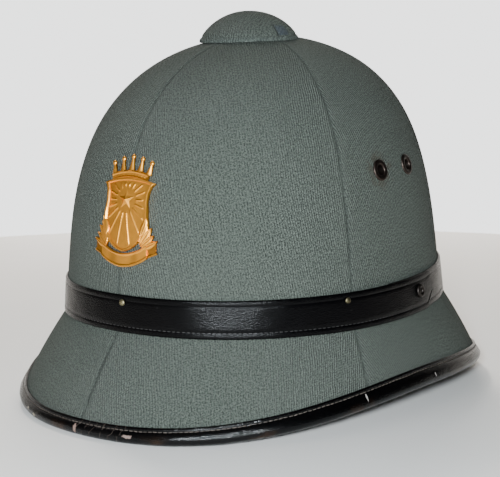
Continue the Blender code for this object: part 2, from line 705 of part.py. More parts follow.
def badge_ribbon():
    """A bare ribbon that hangs in a curve under the shield, with a folded end on each side."""
    tall = RIBBON_HEIGHT * BADGE_HEIGHT
    foot = -BADGE_HEIGHT / 2
    across = np.linspace(-1.0, 1.0, 13)
    up = np.array([0.0, 0.14, 0.24, 0.76, 0.86, 1.0])
    raised = np.array([0.4, 0.8, 0.25, 0.25, 0.8, 0.4])
    x = RIBBON_WIDTH * BADGE_WIDTH / 2 * across[:, None] + 0 * up[None, :]
    y = foot + tall * up[None, :] + RIBBON_CURVE * BADGE_HEIGHT * across[:, None] ** 2
    z = BADGE_PLATE + BADGE_RELIEF * raised[None, :] + 0 * x
    pieces = [badge_grid("badge_ribbon", x, y, z, 0.7 * BADGE_STAGGER)]
    along = np.linspace(0.0, 1.0, 5)[:, None]
    notch = RIBBON_NOTCH * (np.abs(up[None, :] - 0.5) * 2 - 1) * (along == 1.0)
    inner_end = RIBBON_WIDTH / 2 - 0.06
    x = (inner_end + (0.5 - inner_end) * along + notch) * BADGE_WIDTH
    y = foot + (0.072 + RIBBON_RISE * along) * BADGE_HEIGHT + tall * up[None, :]
    z = 0.55 * BADGE_PLATE + 0.8 * BADGE_RELIEF * raised[None, :] + 0 * x
    for side, name in ((1, "badge_ribbon_end_left"), (-1, "badge_ribbon_end_right")):
        pieces.append(badge_grid(name, side * x, y, z, 1.7 * BADGE_STAGGER))
    return pieces


def badge(finish):
    """The badge as one solid: its pieces joined like soldered metal."""
    shield = badge_shield()
    shield.name = "badge"
    shield.data.materials.append(finish)
    pieces = badge_star() + badge_coronet() + badge_leaves() + badge_ribbon()
    group = bpy.data.collections.new("badge_pieces")
    bpy.context.scene.collection.children.link(group)
    for piece in pieces:
        bpy.context.scene.collection.objects.unlink(piece)
        group.objects.link(piece)
        piece.hide_render = True
        piece.display_type = "WIRE"
    solder = shield.modifiers.new("solder", "BOOLEAN")
    solder.operation = "UNION"
    solder.solver = "EXACT"
    solder.operand_type = "COLLECTION"
    solder.collection = group
    return shield


def main():
    for old in list(bpy.data.objects):
        bpy.data.objects.remove(old, do_unlink=True)
    cloth = material("grey_green_twill", (0.115, 0.145, 0.135), 0.9)
    leather = material("black_leather", (0.012, 0.012, 0.013), 0.25)
    gilt = material("gilt_metal", (0.80, 0.48, 0.16), 0.3, 1.0)
    dark = material("dark_metal", (0.05, 0.035, 0.03), 0.45, 0.9)
    brass = material("pin_brass", (0.45, 0.36, 0.20), 0.4, 1.0)
    zones = {"front": (SEAM_FRONT, SEAM_SIDE), "side": (SEAM_SIDE, SEAM_REAR),
             "rear": (SEAM_REAR, SEAM_BACK)}
    for zone, (start, end) in zones.items():
        for side, span in (("left", (start, end)), ("right", (-end, -start))):
            gore = crown_gore(f"crown_gore_{zone}_{side}", *span, cloth)
            brim_panel(f"brim_panel_{zone}_{side}", *span, cloth)
            if zone == "side":
                sign = 1 if side == "left" else -1
                for place, angle in EYELET_ANGLES.items():
                    eyelet(f"{side}_{place}", sign * angle, gore, dark)
    rim_binding(leather)
    hat_band(leather)
    band_stud(dark)
    for place in PIN_ANGLES:
        band_pin(place, brass)
    top_button(cloth)
    badge(gilt)


main()
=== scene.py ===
"""Police helmet, dressed: cloth gores and brim, leather band and binding, metal fittings, badge.

Laid out as an add-on and run as a script. Metres, +Z up, the front faces -Y and +X is the
wearer's left. Every shape is a function of two parameters worked out on a grid.
"""

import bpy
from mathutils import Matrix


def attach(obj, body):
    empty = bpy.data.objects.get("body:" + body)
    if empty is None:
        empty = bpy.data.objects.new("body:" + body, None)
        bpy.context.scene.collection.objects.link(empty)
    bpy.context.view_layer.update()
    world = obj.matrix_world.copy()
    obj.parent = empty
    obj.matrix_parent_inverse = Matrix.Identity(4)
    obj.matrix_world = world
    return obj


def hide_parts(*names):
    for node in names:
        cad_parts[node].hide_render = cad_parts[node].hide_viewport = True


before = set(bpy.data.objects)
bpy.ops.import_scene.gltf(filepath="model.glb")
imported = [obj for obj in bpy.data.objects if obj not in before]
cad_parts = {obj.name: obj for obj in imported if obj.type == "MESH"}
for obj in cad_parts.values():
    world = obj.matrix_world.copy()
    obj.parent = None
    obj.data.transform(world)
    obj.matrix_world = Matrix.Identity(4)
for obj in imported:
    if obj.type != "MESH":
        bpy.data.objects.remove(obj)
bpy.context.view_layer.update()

import functools
import math

import bmesh
import bpy
import numpy as np
from bpy.props import FloatProperty, FloatVectorProperty, PointerProperty
from mathutils import Matrix

bl_info = {
    "name": "Police helmet",
    "version": (1, 0, 0),
    "blender": (4, 5, 0),
    "location": "View3D > Sidebar > Helmet",
    "description": "Builds a cloth-covered police helmet around its packed frame",
    "category": "Add Mesh",
}

# Crown and brim, the same named sizes as the frame's own solids
CROWN_LENGTH = 0.2149
CROWN_WIDTH = 0.1846
CROWN_RISE = 0.1381
CROWN_TAPER = 0.126
CROWN_SQUARENESS = 2.10
DOME_SHOULDER = 3.94
DOME_ROUNDNESS = 2.13
SEAT_HEIGHT = 0.0472
SEAT_DIP = 0.0011
SEAT_TILT = math.radians(1.8)
TOP_TILT = math.radians(2.8)
MID_FORWARD = 0.0017
TOP_FORWARD = 0.0013
SHELL_WALL = 0.0030
FRONT_REACH = 0.0254
REAR_REACH = 0.0260
SIDE_REACH = 0.0140
BRIM_BULGE = 0.0010
RIM_SQUARENESS = 2.15
SIDE_LIFT = 0.0136
LIFT_FRONT = 3.9
LIFT_REAR = 2.0
SEAM_SIDE = math.radians(70.6)
SEAM_REAR = math.radians(117.5)
FIT_GAP = 0.0003
ZONES = {"front": (0.0, SEAM_SIDE), "side": (SEAM_SIDE, SEAM_REAR), "rear": (SEAM_REAR, math.pi)}

# Rim binding and hat band
BINDING_LEATHER = 0.0011
BINDING_FRONT = 0.0071
BINDING_SIDE = 0.0098
BEAD_RADIUS = 0.0034
EDGE_TUCK = 0.0018
BAND_HEIGHT = 0.0181
BAND_LEATHER = 0.0010
BAND_START = math.radians(84.0)
BAND_STEP_FROM = math.radians(52.0)
BAND_STEP_TO = math.radians(76.0)
TIP_LOWER = math.radians(101.7)
TIP_UPPER = math.radians(104.8)
TIP_POINT = math.radians(106.4)
STUD_ANGLE = math.radians(97.3)
STUD_UP = 0.57
STUD_RADIUS = 0.0035
STUD_RISE = 0.0011
PIN_RADIUS = 0.0016
PIN_RISE = 0.0009
PIN_DROP = 0.0036
PIN_ANGLES = {"front": 2.6, "left": 67.9, "right": -67.9, "rear": 180.0}

# Eyelets and button
EYELET_RADIUS = 0.00535
EYELET_BORE = 0.00275
EYELET_BARREL = 0.0006
EYELET_FLANGE = 0.0009
EYELET_LEVEL = 0.524
EYELET_ANGLES = {"front": 86.6, "rear": 102.0}
BUTTON_RADIUS = 0.0257
BUTTON_RISE = 0.0155
BUTTON_SINK = 0.0027
BUTTON_FORWARD = 0.0058
BUTTON_FULLNESS = 1.5
STEM_RADIUS = 0.0057
STEM_SHARE = 0.3

# Badge: widths as shares of its width, heights of its height
BADGE_WIDTH = 0.0384
BADGE_HEIGHT = 0.0530
BADGE_PLATE = 0.0012
BADGE_RELIEF = 0.0009
BADGE_LEVEL = 0.420
BADGE_SIDE = 0.0029
BADGE_TURN = math.radians(1.4)
SHIELD_WIDTH = 0.80
SHIELD_TOP = 0.295
SHIELD_FOOT = -0.360
SHIELD_ARCH = 0.050
STAR_UP = 0.10
STAR_REACH = 0.13
RAY_COUNT = 18
CIRCLET_WIDTH = 0.53
CIRCLET_HEIGHT = 0.075
CIRCLET_ARCH = 0.035
POINT_HEIGHT = 0.124
BALL_WIDTH = 0.060
RIBBON_WIDTH = 0.72
RIBBON_HEIGHT = 0.125
RIBBON_CURVE = 0.085
RIBBON_RISE = 0.055
SHIELD_TABLE = (
    (0.00, 0.05), (0.03, 0.27), (0.08, 0.45), (0.13, 0.57), (0.26, 0.76), (0.40, 0.86),
    (0.55, 0.85), (0.70, 0.80), (0.85, 0.83), (0.92, 0.88), (0.945, 0.90), (0.98, 0.96),
    (1.00, 1.00),
)
LEAF_COLUMNS = ("across", "up", "turn", "length")
LEAF_TABLE = (
    (0.280, -0.330, 66, 0.240),
    (0.270, -0.310, 51, 0.230),
    (0.260, -0.290, 36, 0.256),
    (0.250, -0.270, 25, 0.260),
    (0.270, -0.220, 18, 0.245),
)

# Camera of the photograph's view
CAMERA_PLACE = (0.42433, -0.53224, 0.17336)
CAMERA_AHEAD = (-0.62222034, 0.77024311, -0.13988348)
CAMERA_UP = (-0.08433285, 0.11169599, 0.99015755)
CAMERA_LENS = 92.0
CARD_TOWARDS = (-0.40, -0.91, -0.10)

# Worn places on the binding, and one painted sheen: angle from the front, share down the outer
# face, half sizes, colour
SPOT_COLUMNS = ("angle", "share", "long", "tall", "colour")
SPOT_TABLE = (
    (-0.4, 0.60, 0.0010, 0.0025, (0.20, 0.135, 0.110)),
    (15.3, 0.57, 0.0026, 0.0009, (0.19, 0.135, 0.115)),
    (-18.3, 0.70, 0.0013, 0.0009, (0.34, 0.30, 0.23)),
    (-22.5, 0.58, 0.0010, 0.0008, (0.28, 0.25, 0.20)),
    (69.7, 0.42, 0.0004, 0.0019, (0.30, 0.28, 0.26)),
    (91.6, 0.55, 0.0004, 0.0012, (0.36, 0.34, 0.32)),
    (128.0, 0.50, 0.0035, 0.0022, (0.13, 0.13, 0.12)),
    # Painted sheen: a long brownish-grey glaze of light on the binding's outer face towards the
    # wearer's right
    (-48.0, 0.42, 0.0150, 0.0026, (0.100, 0.084, 0.064)),
)
CRACK_TABLE = (
    (5.0, 0.55, 0.022, 0.009, None),
    (-38.0, 0.50, 0.030, 0.009, None),
    (112.0, 0.50, 0.020, 0.009, None),
)

# Colours and shares that aren't settings
SEAM_SHADOW = (0.010, 0.012, 0.012)
CLOTH_DUST = (0.16, 0.17, 0.15)
LEATHER_DUST = (0.16, 0.15, 0.14)
CRACK = (0.15, 0.115, 0.095)
RUST = (0.050, 0.036, 0.022)
RUST_SIZE = (0.011, 0.0085, 0.0090)
FLOOR_DULL = (0.82, 0.81, 0.785)
MIRRORED_DARK = 0.03
BUTTON_TINTS = (
    ("hem", 0.30, (0.090, 0.110, 0.102)),
    ("patch", 0.55, (0.055, 0.070, 0.092)),
    # Painted shade: a near-black line down the fold in the button's side
    ("tuck_shade", 0.85, (0.008, 0.008, 0.009)),
)

# Section of the strap: height over its lower edge in millimetres, thickness as a share
BAND_PROFILE = (
    (0.0, 0.0), (0.0, 0.6), (0.2, 0.88), (0.6, 1.0), (1.4, 1.02), (2.5, 1.03), (2.8, 0.86),
    (3.1, 0.86), (3.4, 1.03), (5.0, 1.05), (8.0, 1.06), (11.0, 1.05), (13.5, 1.03), (14.8, 1.0),
    (15.1, 0.88), (15.3, 0.82), (15.5, 0.88), (15.8, 1.0), (16.6, 1.02), (17.4, 1.0),
    (17.8, 0.86), (18.1, 0.6), (18.1, 0.0),
)

# Stitching: height on the band, length and radius of a stitch
BAND_STITCH_UP = 0.00295
BAND_STITCH = 0.0016
BAND_THREAD = 0.00017
RIM_STITCH = 0.0020
RIM_THREAD = 0.00026
STITCH_SIDES = 6

# Pressed seams, their puckers, and the slack of the cloth
GROOVE_WIDTH = 0.0007
RIDGE_AWAY = 0.0024
RIDGE_WIDTH = 0.0014
PUCKER_PITCH = 0.0085
PUCKER_WANDER = 0.06
PUCKER_AWAY = 0.002
PUCKER_WIDTH = 0.005
SLACK_HEIGHT = 0.00012
SLACK_SIZE = 0.05
SEAM_SHADE = 0.0010
RUBBED_AWAY = 0.0026
RUBBED_WIDTH = 0.0013
RIB_DRIFT = 2.2
CROSS_SHARE = 0.62

# Lip and rays of the badge's shield
LIP_ROUND = 0.0002
LIP_WIDTH = 0.0016
LIP_SLOPE = 0.0005
RAY_START = 1.12
RAY_MARGIN = 0.0022
RAY_FADE = 0.0008
RAY_HALF = 0.00055

# Grids and tolerances
STEP = 1e-4
FULL_TURN = 2 * math.pi
WAVE_COUNT = 7
PANEL_COLUMNS = 64
CROWN_ROWS = 96
BRIM_ROWS = 32
BUTTON_SIDES = 288
FLOOR_SIDES = 96
MERGE_DISTANCE = 2e-6
COLLAPSED = 1e-7
DRILL_REACH = 0.01


def unit(vectors):
    """Vectors divided by their own length."""
    return vectors / np.linalg.norm(vectors, axis=-1, keepdims=True)


def oval(angle, squareness):
    """(|cos|^n + |sin|^n)^(-1/n): the reach of a rounded oval at an angle from the front."""
    reach = np.abs(np.cos(angle)) ** squareness + np.abs(np.sin(angle)) ** squareness
    return reach ** (-1.0 / squareness)


def dome_width(level):
    """A straight taper times (1 - level^p)^(1/q): the crown's width as a share of its foot's."""
    inside = np.clip(level, 0.0, 1.0)
    cap = (1.0 - inside ** DOME_SHOULDER) ** (1.0 / DOME_ROUNDNESS)
    return (1.0 - CROWN_TAPER * inside) * cap


def crown_surface(angle, level):
    """Oval times dome width at each level, tilted about the cross axis and slid forward."""
    angle, level = np.broadcast_arrays(angle, level)
    factor = oval(angle, CROWN_SQUARENESS) * dome_width(level)
    x = CROWN_WIDTH / 2 * factor * np.sin(angle)
    along = -CROWN_LENGTH / 2 * factor * np.cos(angle)
    tilt = SEAT_TILT + (TOP_TILT - SEAT_TILT) * level
    middle = (FRONT_REACH - REAR_REACH) / 2
    middle = middle - TOP_FORWARD * level - MID_FORWARD * 4 * level * (1 - level)
    height = SEAT_HEIGHT + CROWN_RISE * level + SEAT_DIP * np.cos(2 * angle) * (1 - level)
    return np.stack([x, middle + along * np.cos(tilt), height + along * np.sin(tilt)], -1)


def bead_line(angle):
    """An oval on the ground whose height grows with a power of |sin| towards the sides."""
    angle = np.asarray(angle, float)
    factor = oval(angle, RIM_SQUARENESS)
    half_length = (CROWN_LENGTH * math.cos(SEAT_TILT) + FRONT_REACH + REAR_REACH) / 2
    sharpness = np.where(np.cos(angle) > 0, LIFT_FRONT, LIFT_REAR)
    x = (CROWN_WIDTH / 2 + SIDE_REACH) * factor * np.sin(angle)
    y = -half_length * factor * np.cos(angle)
    z = BEAD_RADIUS + SIDE_LIFT * np.abs(np.sin(angle)) ** sharpness
    return np.stack([x, y, z], -1)


def rim_axes(angle):
    """Down the brim's slope, square to the bead line, and out of the brim's face."""
    down = unit(bead_line(angle) - crown_surface(angle, 0.0))
    around = unit(bead_line(angle + STEP) - bead_line(angle - STEP))
    out = unit(np.cross(down, around))
    return unit(down - around * np.sum(down * around, -1, keepdims=True)), out


def brim_surface(angle, share):
    """A straight line from the crown's foot to the rim's outer face, with a low bulge."""
    angle, share = np.broadcast_arrays(np.asarray(angle, float), share)
    foot = crown_surface(angle, np.zeros_like(angle))
    edge = bead_line(angle) + rim_axes(angle)[1] * (SHELL_WALL / 2)
    bulge = unit(foot * (1.0, 1.0, 0.0)) * (BRIM_BULGE * 4 * share * (1 - share))[..., None]
    return foot + (edge - foot) * share[..., None] + bulge


def outward(surface, angle, along):
    """Cross product of the surface's two slopes, turned out of the helmet."""
    angle, along = np.broadcast_arrays(angle, along)
    across = surface(angle + STEP, along) - surface(angle - STEP, along)
    down = surface(angle, along + STEP) - surface(angle, along - STEP)
    return unit(np.cross(across, down)) * (1.0 if surface is crown_surface else -1.0)


def foot_offset(angle):
    """Mitre between the crown's wall and the brim's: the sum of both normals, scaled."""
    crown = outward(crown_surface, angle, np.zeros_like(angle))
    brim = outward(brim_surface, angle, np.zeros_like(angle))
    return (crown + brim) / (1.0 + np.sum(crown * brim, -1, keepdims=True))


def waves(points, size, seed):
    """Smooth unevenness of about -1 to 1: a sum of sines along seeded directions."""
    rng = np.random.default_rng(seed)
    directions = unit(rng.normal(size=(WAVE_COUNT, 3)))
    directions = directions * (FULL_TURN / size) * rng.uniform(0.6, 1.6, (WAVE_COUNT, 1))
    phases = rng.uniform(0.0, FULL_TURN, WAVE_COUNT)
    return np.sin(points @ directions.T + phases).sum(-1) / 4.0


def bump_at(value, middle, width):
    """exp(-((value - middle) / width)^2)."""
    return np.exp(-((value - middle) / width) ** 2)


def fade(value, start, width):
    """A straight rise from 0 at start to 1 a width further on; a negative width falls."""
    return np.clip((value - start) / width, 0, 1)


def quads(rows, columns, first=0, wrap=False):
    """Point numbers of the quads of a grid; wrap joins its last column to its first."""
    index = first + np.arange(rows * columns).reshape(rows, columns)
    if wrap:
        index = np.concatenate([index, index[:, :1]], 1)
    corners = [index[:-1, :-1], index[1:, :-1], index[1:, 1:], index[:-1, 1:]]
    return np.stack(corners, -1).reshape(-1, 4)


def wall(outer, inner, first=0):
    """Points and faces of a closed wall between two grids of one size."""
    rows, columns = outer.shape[:2]
    count = rows * columns
    index = first + np.arange(count).reshape(rows, columns)
    ring = np.concatenate([index[0, :-1], index[:-1, -1], index[-1, :0:-1], index[:0:-1, 0]])
    after = np.roll(ring, -1)
    rim = np.stack([ring, after, after + count, ring + count], -1)
    faces = np.concatenate([quads(rows, columns, first), quads(rows, columns, first + count), rim])
    return np.concatenate([outer.reshape(-1, 3), inner.reshape(-1, 3)]), faces


def tube(sections, loop):
    """Points and faces of closed sections carried along a path; loop joins its two ends."""
    count, corners = sections.shape[:2]
    faces = quads(count, corners, wrap=True)
    if loop:
        last, start = (count - 1) * corners + np.arange(corners), np.arange(corners)
        joint = [last, start, np.roll(start, -1), np.roll(last, -1)]
        return sections.reshape(-1, 3), np.concatenate([faces, np.stack(joint, -1)]).tolist()
    caps = [list(range(corners)), list(range((count - 1) * corners, count * corners))]
    return sections.reshape(-1, 3), faces.tolist() + caps


def turned(profile, centre, axis, sides):
    """Points and faces of a profile of (radius, height) turned about an axis."""
    axis = unit(np.asarray(axis, float))
    helper = np.array([0.0, 0.0, 1.0]) if abs(axis[2]) < 0.9 else np.array([0.0, 1.0, 0.0])
    right = unit(np.cross(helper, axis))
    ring = np.arange(sides) * (FULL_TURN / sides)
    spokes = np.cos(ring)[:, None] * right + np.sin(ring)[:, None] * np.cross(axis, right)
    radius, height = np.asarray(profile, float).T
    points = np.asarray(centre) + height[:, None, None] * axis + radius[:, None, None] * spokes
    return points.reshape(-1, 3), quads(len(radius), sides, wrap=True).tolist()


def gather(parts):
    """Joins a list of (points, faces, value per point) into one set."""
    points, faces, values, first = [], [], [], 0
    for part_points, part_faces, value in parts:
        points.append(part_points)
        faces += [[first + int(corner) for corner in face] for face in part_faces]
        values.append(np.broadcast_to(value, len(part_points)))
        first += len(part_points)
    return np.concatenate(points), faces, np.concatenate(values)


def lay_uv(mesh, uv, period):
    """Lengths along and across each point as the UV map.

    Where a face spans the end of a closed run, its corners at the start move on by one period.
    """
    corner = np.zeros(len(mesh.loops), np.int32)
    mesh.loops.foreach_get("vertex_index", corner)
    placed = np.asarray(uv)[corner]
    if period:
        start = np.zeros(len(mesh.polygons), np.int32)
        mesh.polygons.foreach_get("loop_start", start)
        face_of = np.searchsorted(start, np.arange(len(corner)), side="right") - 1
        top = np.maximum.reduceat(placed[:, 0], start)[face_of]
        placed[:, 0] += np.where(top - placed[:, 0] > period / 2, period, 0.0)
    layer = mesh.uv_layers.new(name="UVMap")
    layer.data.foreach_set("uv", placed.astype(np.float32).ravel())


def close_mesh(mesh):
    """Merges doubled points, drops collapsed faces and turns every face outwards."""
    shape = bmesh.new()
    shape.from_mesh(mesh)
    bmesh.ops.remove_doubles(shape, verts=shape.verts, dist=MERGE_DISTANCE)
    bmesh.ops.dissolve_degenerate(shape, edges=shape.edges, dist=COLLAPSED)
    bmesh.ops.recalc_face_normals(shape, faces=shape.faces)
    shape.to_mesh(mesh)
    shape.free()


def make_piece(name, points, faces, finish, nodes=(), uv=None, period=None, masks=None,
               sharp=50.0):
    """Puts points and faces into a mesh object that rides on the frame and replaces nodes."""
    mesh = bpy.data.meshes.new(name)
    faces = [[int(corner) for corner in face] for face in faces]
    mesh.from_pydata(points.tolist(), [], faces)
    for mask, values in (masks or {}).items():
        layer = mesh.attributes.new(mask, "FLOAT", "POINT")
        layer.data.foreach_set("value", np.asarray(values, np.float32).ravel())
    if uv is not None:
        lay_uv(mesh, uv, period)
    close_mesh(mesh)
    mesh.shade_smooth()
    mesh.set_sharp_from_angle(angle=math.radians(sharp))
    piece = bpy.data.objects.new(name, mesh)
    bpy.context.scene.collection.objects.link(piece)
    mesh.materials.append(finish)
    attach(piece, "root")
    if nodes:
        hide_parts(*nodes)
    return piece


def panel_sides(start, end):
    """Angles across a panel: even steps mixed with cosine steps, closer towards its seams."""
    even = np.linspace(0.0, 1.0, PANEL_COLUMNS + 1)
    return start + (end - start) * (0.4 * even + 0.6 * (0.5 - 0.5 * np.cos(math.pi * even)))


def crown_levels(rows):
    """Levels from the foot to the vent hole at even steps of length along the profile."""
    level = np.sin(np.linspace(0.0, math.pi / 2, 400)) ** (2.0 / DOME_SHOULDER)
    width = dome_width(level) * CROWN_WIDTH / 2
    top = np.interp(-(STEM_RADIUS + FIT_GAP), -width, level)
    inside = level < top
    level = np.append(level[inside], top)
    width = np.append(width[inside], STEM_RADIUS + FIT_GAP)
    length = np.append(0.0, np.cumsum(np.hypot(np.diff(width), np.diff(level * CROWN_RISE))))
    return np.interp(np.linspace(0.0, length[-1], rows + 1), length, level)


def cloth_panel(name, surface, start, end, along, finish, node):
    """A panel of cloth over its stiffener: the surface, plus a pressed seam at each side.

    The outer face stands proud or sinks by a sum of bell curves of the distance to the nearer
    seam, and a pucker that runs along the seam as a sine and dies out away from it.
    """
    depth = bpy.context.scene.helmet_cloth.seam_depth
    angles = panel_sides(start, end)
    turn, level = np.meshgrid(angles, along, indexing="ij")
    outer = surface(turn, level)
    normal = outward(surface, turn, level)
    inner = outer - SHELL_WALL * normal
    inner[:, 0] = outer[:, 0] - SHELL_WALL * foot_offset(angles)
    across = surface(turn + STEP, level) - surface(turn - STEP, level)
    per_angle = np.linalg.norm(across, axis=-1) / (2 * STEP)
    sideways = unit(across)
    from_seam = np.minimum(turn - start, end - turn) * per_angle
    run = np.cumsum(np.linalg.norm(np.diff(outer, axis=1, prepend=outer[:, :1]), axis=-1), 1)
    pucker = np.sin(run * (FULL_TURN / PUCKER_PITCH) + 2.0 * waves(outer, PUCKER_WANDER, 3))
    relief = -depth * bump_at(from_seam, 0.0, GROOVE_WIDTH)
    relief += 0.45 * depth * bump_at(from_seam, RIDGE_AWAY, RIDGE_WIDTH)
    relief += 0.16 * depth * pucker * bump_at(from_seam, PUCKER_AWAY, PUCKER_WIDTH)
    relief += SLACK_HEIGHT * waves(outer, SLACK_SIZE, 5)
    if surface is brim_surface:
        down, out = rim_axes(angles)
        inner[:, -1] = outer[:, -1] - SHELL_WALL * out
        relief[:, -2:] = 0.0
        relief[:, :2] *= 0.3
        for grid in (outer, inner):
            grid[:, -1] += down * EDGE_TUCK
    outer = outer + normal * relief[..., None]
    sign = 1.0 if surface is crown_surface else -1.0
    for grid in (outer, inner):
        grid[0] += sideways[0] * FIT_GAP / 2
        grid[-1] -= sideways[-1] * FIT_GAP / 2
        grid[:, 0, 2] += sign * FIT_GAP / 2
    uv = np.stack([(turn - (start + end) / 2) * per_angle, sign * run], -1).reshape(-1, 2)
    points, faces = wall(outer, inner)
    inside = np.zeros(from_seam.size)
    masks = {"seam": np.append(bump_at(from_seam, 0.0, SEAM_SHADE), inside),
             "ridge": np.append(bump_at(from_seam, RUBBED_AWAY, RUBBED_WIDTH), inside)}
    return make_piece(name, points, faces, finish, [node], uv=np.tile(uv, (2, 1)),
                      masks=masks)


def drill(piece, centre, axis, radius):
    """Cuts a round hole through a piece and keeps the cut mesh."""
    profile = [(0, -DRILL_REACH), (radius, -DRILL_REACH), (radius, DRILL_REACH), (0, DRILL_REACH)]
    points, faces = turned(profile, centre, axis, 48)
    mesh = bpy.data.meshes.new("hole")
    mesh.from_pydata(points.tolist(), [], faces)
    close_mesh(mesh)
    tool = bpy.data.objects.new("hole", mesh)
    bpy.context.scene.collection.objects.link(tool)
    cut = piece.modifiers.new("hole", "BOOLEAN")
    cut.operation = "DIFFERENCE"
    cut.solver = "EXACT"
    cut.object = tool
    graph = bpy.context.evaluated_depsgraph_get()
    result = bpy.data.meshes.new_from_object(piece.evaluated_get(graph))
    piece.modifiers.clear()
    old = piece.data
    piece.data = result
    result.name = piece.name
    bpy.data.meshes.remove(old)
    bpy.data.objects.remove(tool)
    bpy.data.meshes.remove(mesh)


def band_lift(turn):
    """Gap to the cloth, rising by one leather and one gap over the strap's own start."""
    rise = np.clip((turn - FULL_TURN - BAND_STEP_FROM) / (BAND_STEP_TO - BAND_STEP_FROM), 0, 1)
    rise = rise * rise * (3 - 2 * rise)
    return FIT_GAP + (BAND_LEATHER + FIT_GAP) * rise


def band_point(turn, height, off):
    """A point on the crown at a height over its foot, moved off along the normal."""
    level = np.asarray(height, float) / CROWN_RISE
    turn, level = np.broadcast_arrays(np.asarray(turn, float), level)
    normal = outward(crown_surface, turn, level)
    return crown_surface(turn, level) + normal * np.asarray(off)[..., None]


def band_seat(turn, height):
    """Place and direction of a fastening on the strap's face."""
    off = band_lift(turn) + BAND_LEATHER + FIT_GAP
    normal = outward(crown_surface, np.asarray(turn), height / CROWN_RISE)
    return band_point(turn, height, off), normal


def badge_place(x, y, z):
    """Across, up and off the back, rolled onto the crown's front."""
    x, y, z = np.broadcast_arrays(np.asarray(x, float), y, z)
    right = x * math.cos(BADGE_TURN) - y * math.sin(BADGE_TURN)
    up = x * math.sin(BADGE_TURN) + y * math.cos(BADGE_TURN)
    rise = crown_surface(0.0, BADGE_LEVEL + STEP) - crown_surface(0.0, BADGE_LEVEL - STEP)
    level = BADGE_LEVEL + up * 2 * STEP / np.linalg.norm(rise)
    across = crown_surface(STEP, level) - crown_surface(-STEP, level)
    angle = (BADGE_SIDE + right) * 2 * STEP / np.linalg.norm(across, axis=-1)
    normal = outward(crown_surface, angle, level)
    return crown_surface(angle, level) + normal * (FIT_GAP + z)[..., None]


def badge_patch(x, y, z, back=0.0):
    """A closed relief: its face at height z, its back at one height; value is the relief."""
    points, faces = wall(badge_place(x, y, z), badge_place(x, y, back))
    value = np.concatenate([((z - BADGE_PLATE) / BADGE_RELIEF + 0 * x).ravel(), np.zeros(z.size)])
    return points, faces, value


def badge_shield():
    """Half width from a smoothed table; a lip by distance to the edge; fine spreading rays."""
    rows = 140
    up = np.linspace(0.0, 1.0, rows + 1)
    table_up, table_half = np.array(SHIELD_TABLE).T
    half = np.interp(up, table_up, table_half)
    for _ in range(6):
        half[1:-1] = (half[:-2] + 2 * half[1:-1] + half[2:]) / 4
    half = half * SHIELD_WIDTH * BADGE_WIDTH / 2
    across = np.linspace(-1.0, 1.0, 121)
    across = np.sign(across) * np.abs(across) ** 0.9
    x = across[:, None] * half[None, :]
    tall = (SHIELD_TOP - SHIELD_FOOT) * BADGE_HEIGHT
    arch = SHIELD_ARCH * across[:, None] ** 2 * up[None, :] ** 4
    y = SHIELD_FOOT * BADGE_HEIGHT + tall * up[None, :] - arch * BADGE_HEIGHT
    slope = np.gradient(half, tall / rows)
    side = (1 - np.abs(across[:, None])) * half[None, :] / np.sqrt(1 + slope ** 2)[None, :]
    edge = np.minimum(side, (1 - up)[None, :] * tall)
    lip = np.clip(edge / LIP_ROUND, 0.35, 1) * fade(edge, LIP_WIDTH, -LIP_SLOPE)
    field = 0.35 * (1 - (x / (SHIELD_WIDTH * BADGE_WIDTH / 2)) ** 2)
    height_up = y - STAR_UP * BADGE_HEIGHT
    away = np.hypot(x, height_up)
    turn = np.arctan2(x, height_up) / (FULL_TURN / RAY_COUNT) - 0.5
    off = np.abs(turn - np.round(turn)) * (FULL_TURN / RAY_COUNT) * away
    start = RAY_START * STAR_REACH * BADGE_WIDTH
    inside = fade(edge, RAY_MARGIN, RAY_FADE) * fade(away, start, RAY_FADE)
    ray = fade(off, RAY_HALF, -RAY_HALF) * inside
    z = BADGE_PLATE + BADGE_RELIEF * np.maximum(np.maximum(lip, field + 0.42 * ray), 0.0)
    return badge_patch(x, y, z)


def badge_star():
    """Ten outline points that alternate between two radii, with facets up to the middle."""
    reach = STAR_REACH * BADGE_WIDTH
    ring = np.arange(10)
    after = (ring + 1) % 10
    radii = np.where(ring % 2 == 0, reach, 0.42 * reach)
    x = np.append(radii * np.sin(ring * math.pi / 5), 0.0)
    y = np.append(radii * np.cos(ring * math.pi / 5), 0.0) + STAR_UP * BADGE_HEIGHT
    low = BADGE_PLATE + 0.30 * BADGE_RELIEF
    z = np.append(np.full(10, low), low + 1.1 * BADGE_RELIEF)
    points = np.concatenate([badge_place(x, y, z), badge_place(x, y, 0.6 * BADGE_PLATE)])
    faces = [[a, b, 10] for a, b in zip(ring, after)]
    faces += [[a + 11, b + 11, 21] for a, b in zip(ring, after)]
    faces += [[a, b, b + 11, a + 11] for a, b in zip(ring, after)]
    value = np.concatenate([np.append(np.full(10, 0.5), 1.4), np.zeros(11)])
    return points, faces, value


def badge_ball(x, y, radius):
    """A flattened sphere: polar and ring angles on a grid."""
    rows, sides = 11, 16
    polar, ring = np.meshgrid(np.linspace(0, math.pi, rows),
                              np.arange(sides) * (FULL_TURN / sides), indexing="ij")
    place = badge_place(x + radius * np.sin(polar) * np.cos(ring),
                        y + radius * np.sin(polar) * np.sin(ring),
                        BADGE_PLATE + 0.85 * radius * np.cos(polar))
    return place.reshape(-1, 3), quads(rows, sides, wrap=True), 0.9


